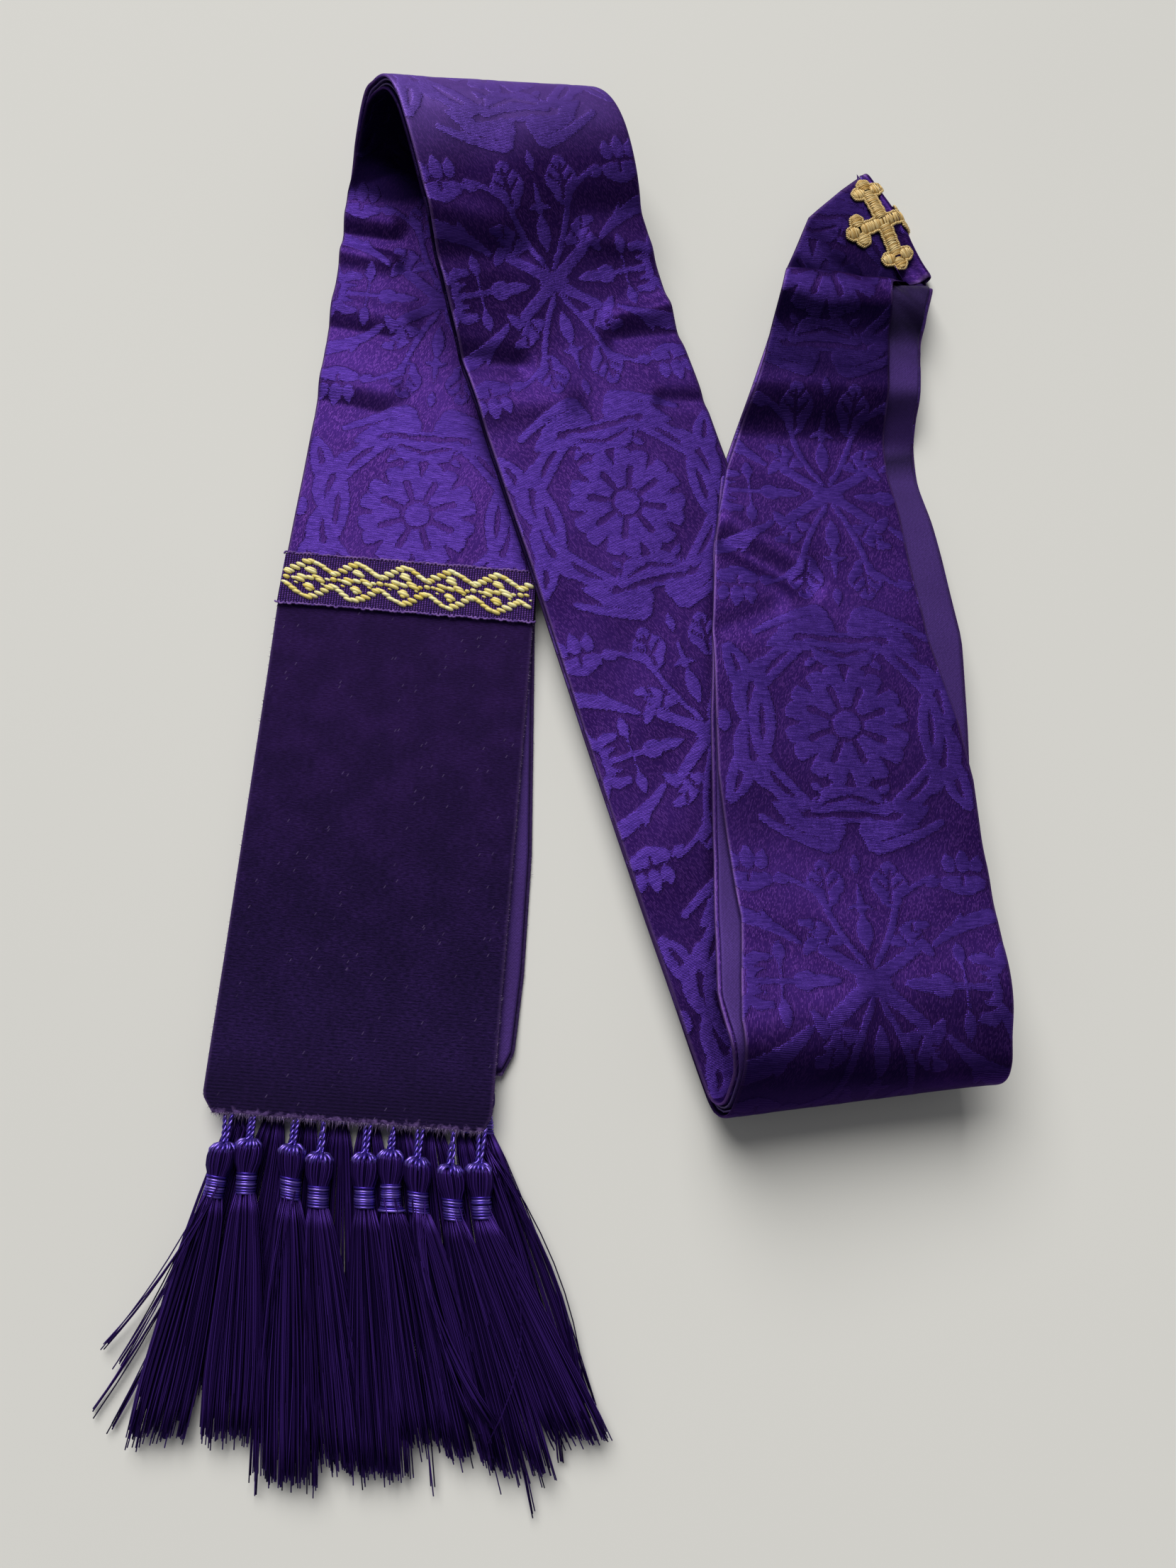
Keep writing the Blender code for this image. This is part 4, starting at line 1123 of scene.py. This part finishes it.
FLOSS = {"a": 210, "b": 115}  # threads in a skirt
STRAYS = (
    # half, tassel, foot across, foot below the hem, bow, height there, threads
    ("a", 1, -76, 82, 3, 3, 4), ("a", 1, -71, 88, 2, 3, 5), ("b", 1, -77, 106, 5, 2, 4),
    ("b", 1, -70, 110, 4, 2, 4), ("a", 7, 64, 97, -7, 11, 15), ("a", 7, 60, 102, -5, 10.5, 8),
    ("a", 9, 63, 104, 12, 11, 1), ("b", 9, 96, 96, 9, 3, 8), ("b", 9, 90, 110, 5, 3, 6),
    ("a", 8, 82, 126, 2, 3, 4), ("a", 1, -60, 117, -2, 3, 3), ("a", 6, 45, 122, 2, 3, 3),
    ("a", 3, -16, 126, -2, 3, 3),
)

# Floss silk: a deep violet that gleams along each thread.
tassel_silk = thread_material("floss silk", "#160A34", "#4A2C88", {
    "Roughness": 0.42, "Metallic": 0.6, "Specular IOR Level": 0.3, "Specular Tint": linear("#A890F0")})

# The same silk twisted and wound tight: bluer, and painted brighter for the light that its close turns
# catch.
wound_silk_painted_brighter = thread_material("wound and twisted silk, painted brighter", "#46309C", "#8C74DE", {
    "Roughness": 0.34, "Metallic": 0.8, "Specular IOR Level": 0.3, "Specular Tint": linear("#B4A8FF")})


def hem_points(across, below, height):
    """Points below the hems, in metres."""
    x, y = (HEM_AT[i] + across * ACROSS[i] - below * ALONG[i] for i in (0, 1))
    return np.stack(np.broadcast_arrays(x, y, height), -1) * MM


stations = np.array(STATIONS)
for half, rows, start, heights, squeeze in (("a", TASSELS_A, GAP, (8.4, 6.4), 1.0),
                                            ("b", TASSELS_B, GAP - HEM_STEP, (3.7, 2.0), 0.55)):
    for number, (head, binding, foot, reach, slack) in enumerate(rows, 1):
        rng = np.random.default_rng(700 + number + (20 if half == "b" else 0))

        def body(along, u, v):
            """Points in the tassel: along from its start, u and v from -1 to 1 across and up."""
            below = start + along + slack * np.clip(along / 8.0, 0.0, 1.0)
            middle = np.interp(along, (8.5, FANS_FROM), (head, binding))
            fanned = binding + (foot - binding) * (along - FANS_FROM) / (reach - start - FANS_FROM)
            middle = np.where(along > FANS_FROM, fanned, middle)
            wide, high, drop = (np.interp(along, stations[:, 0], stations[:, c]) for c in (1, 2, 3))
            level = heights[0] + (heights[1] - heights[0]) * drop
            return hem_points(middle + wide * u, below, level + high * squeeze * v)

        # the cord: two legs, each of two plies
        along = np.linspace(CORD[0], CORD[-1], 44)
        spread = rng.uniform(0.5, 1.6)
        crossing = rng.choice((-1.0, 1.0))
        wound = []
        for leg in (-1.0, 1.0):
            at = np.interp(along, CORD, (leg * spread * crossing, leg * 0.8, leg * 0.6))
            for ply in range(2):
                twist = 2 * math.pi * along / CORD_TURN + math.pi * ply
                path = body(along, (at + CORD_PLY * np.cos(twist)) / CORD_HALF,
                            (0.3 * leg + CORD_PLY * np.sin(twist)) / (CORD_HALF * squeeze))
                wound.append((path[None], CORD_THREAD, 6))
        # the head: strands rise from its middle in loops, turn over its shoulder and run down
        loops = 2 * math.pi * (np.arange(HEAD_LOOPS) + rng.uniform(-0.25, 0.25, HEAD_LOOPS)) / HEAD_LOOPS
        lift_of = rng.uniform(-0.6, 0.5, (HEAD_LOOPS, 1))
        turn = loops[:, None] + rng.normal(0, 0.12, (HEAD_LOOPS, 1)) + 0.1 * np.arange(len(HEAD_PROFILE))
        below, out, radii = HEAD_PROFILE.T
        wound.append((body(below + lift_of, out * np.cos(turn), out * np.sin(turn)), radii, 6))
        many = HEAD_THREADS[half]
        round_head = 2 * math.pi * (np.arange(many) + rng.uniform(-0.3, 0.3, many)) / many
        along = np.linspace(HEAD_FROM, HEAD_FROM + HEAD_LENGTH, 8)
        swirl = round_head[:, None] + rng.uniform(-0.25, 0.35) * (along - HEAD_FROM) / HEAD_LENGTH
        snug = rng.uniform(0.93, 1.0, (many, 1))
        bundles = [(body(along, snug * np.cos(swirl), snug * np.sin(swirl)), HEAD_THREAD, 4)]
        # the binding: rings side by side
        lean = rng.uniform(-0.5, 0.5)
        ring = np.linspace(0, 2 * math.pi, 21)
        more = number == 6 and half == "a"      # this one is bound further down
        wraps = WRAPS + 3 * more
        at = BOUND_FROM + np.linspace(0.0, BOUND_LENGTH + 2.2 * more, wraps)[:, None]
        at = at + rng.normal(0, 0.1, (wraps, 1)) + lean * np.cos(ring)
        snug = rng.uniform(1.0, 1.1, (wraps, 1))
        wound.append((body(at, snug * np.cos(ring), snug * np.sin(ring)), WRAP_THREAD, 5))
        top = threads(f"tassel_{half}_{number}_head", wound, wound_silk_painted_brighter)
        # the skirt: floss fans out from under the binding and ends unevenly
        count = FLOSS[half]
        angle, radius = rng.uniform(0, 2 * math.pi, count), np.sqrt(rng.uniform(0, 1, count))
        u, v = radius * np.cos(angle), radius * np.sin(angle)
        u = np.sign(u) * np.abs(u) ** 0.85
        drift = np.convolve(rng.normal(0, 1, count + 12), np.ones(13) / 3.6, mode="valid")
        drift = drift[np.argsort(np.argsort(u))]      # neighbours sway alike
        ends = reach - start - slack - rng.gamma(1.6, 1.9, count) + rng.exponential(1.2, count)
        part = np.linspace(0.0, 1.0, 10)
        along = SKIRT_FROM + (ends[:, None] - SKIRT_FROM) * part
        sway = 0.09 * drift[:, None] * part ** 1.5 + 0.035 * rng.normal(0, 1, (count, 1)) * part ** 3
        settle = np.clip(v[:, None] + rng.normal(0, 0.12, (count, 1)) * part, -1.0, 1.0)
        bundles.append((body(along, u[:, None] + sway, settle), SKIRT_THREAD, 3))
        for stray_half, stray_number, across, below, bow, settled, amount in STRAYS:
            if (stray_half, stray_number) != (half, number):
                continue
            from_w = binding + 3.0 * rng.uniform(-0.8, 0.8, (amount, 1))
            end = across + rng.normal(0, 0.5 + 0.06 * amount, (amount, 1))
            low = below + rng.normal(0, 1.5, (amount, 1))
            along = SKIRT_FROM + (low - start - SKIRT_FROM) * part
            wide = from_w + (end - from_w) * part + 4 * bow * part * (1 - part)
            level = np.interp(part, (0, 0.3, 1), (heights[0] + 2.0, heights[0] + 3.2, settled))
            level = np.maximum(level + rng.normal(0, 0.3, (amount, 1)), 0.8)
            bundles.append((hem_points(wide, start + along, level), STRAY_THREAD, 3))
        skirt = threads(f"tassel_{half}_{number}_skirt", bundles, tassel_silk)
        for piece in (top, skirt):
            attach(piece, "root")
        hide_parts(f"tassel_{half}_{number}")


low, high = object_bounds()
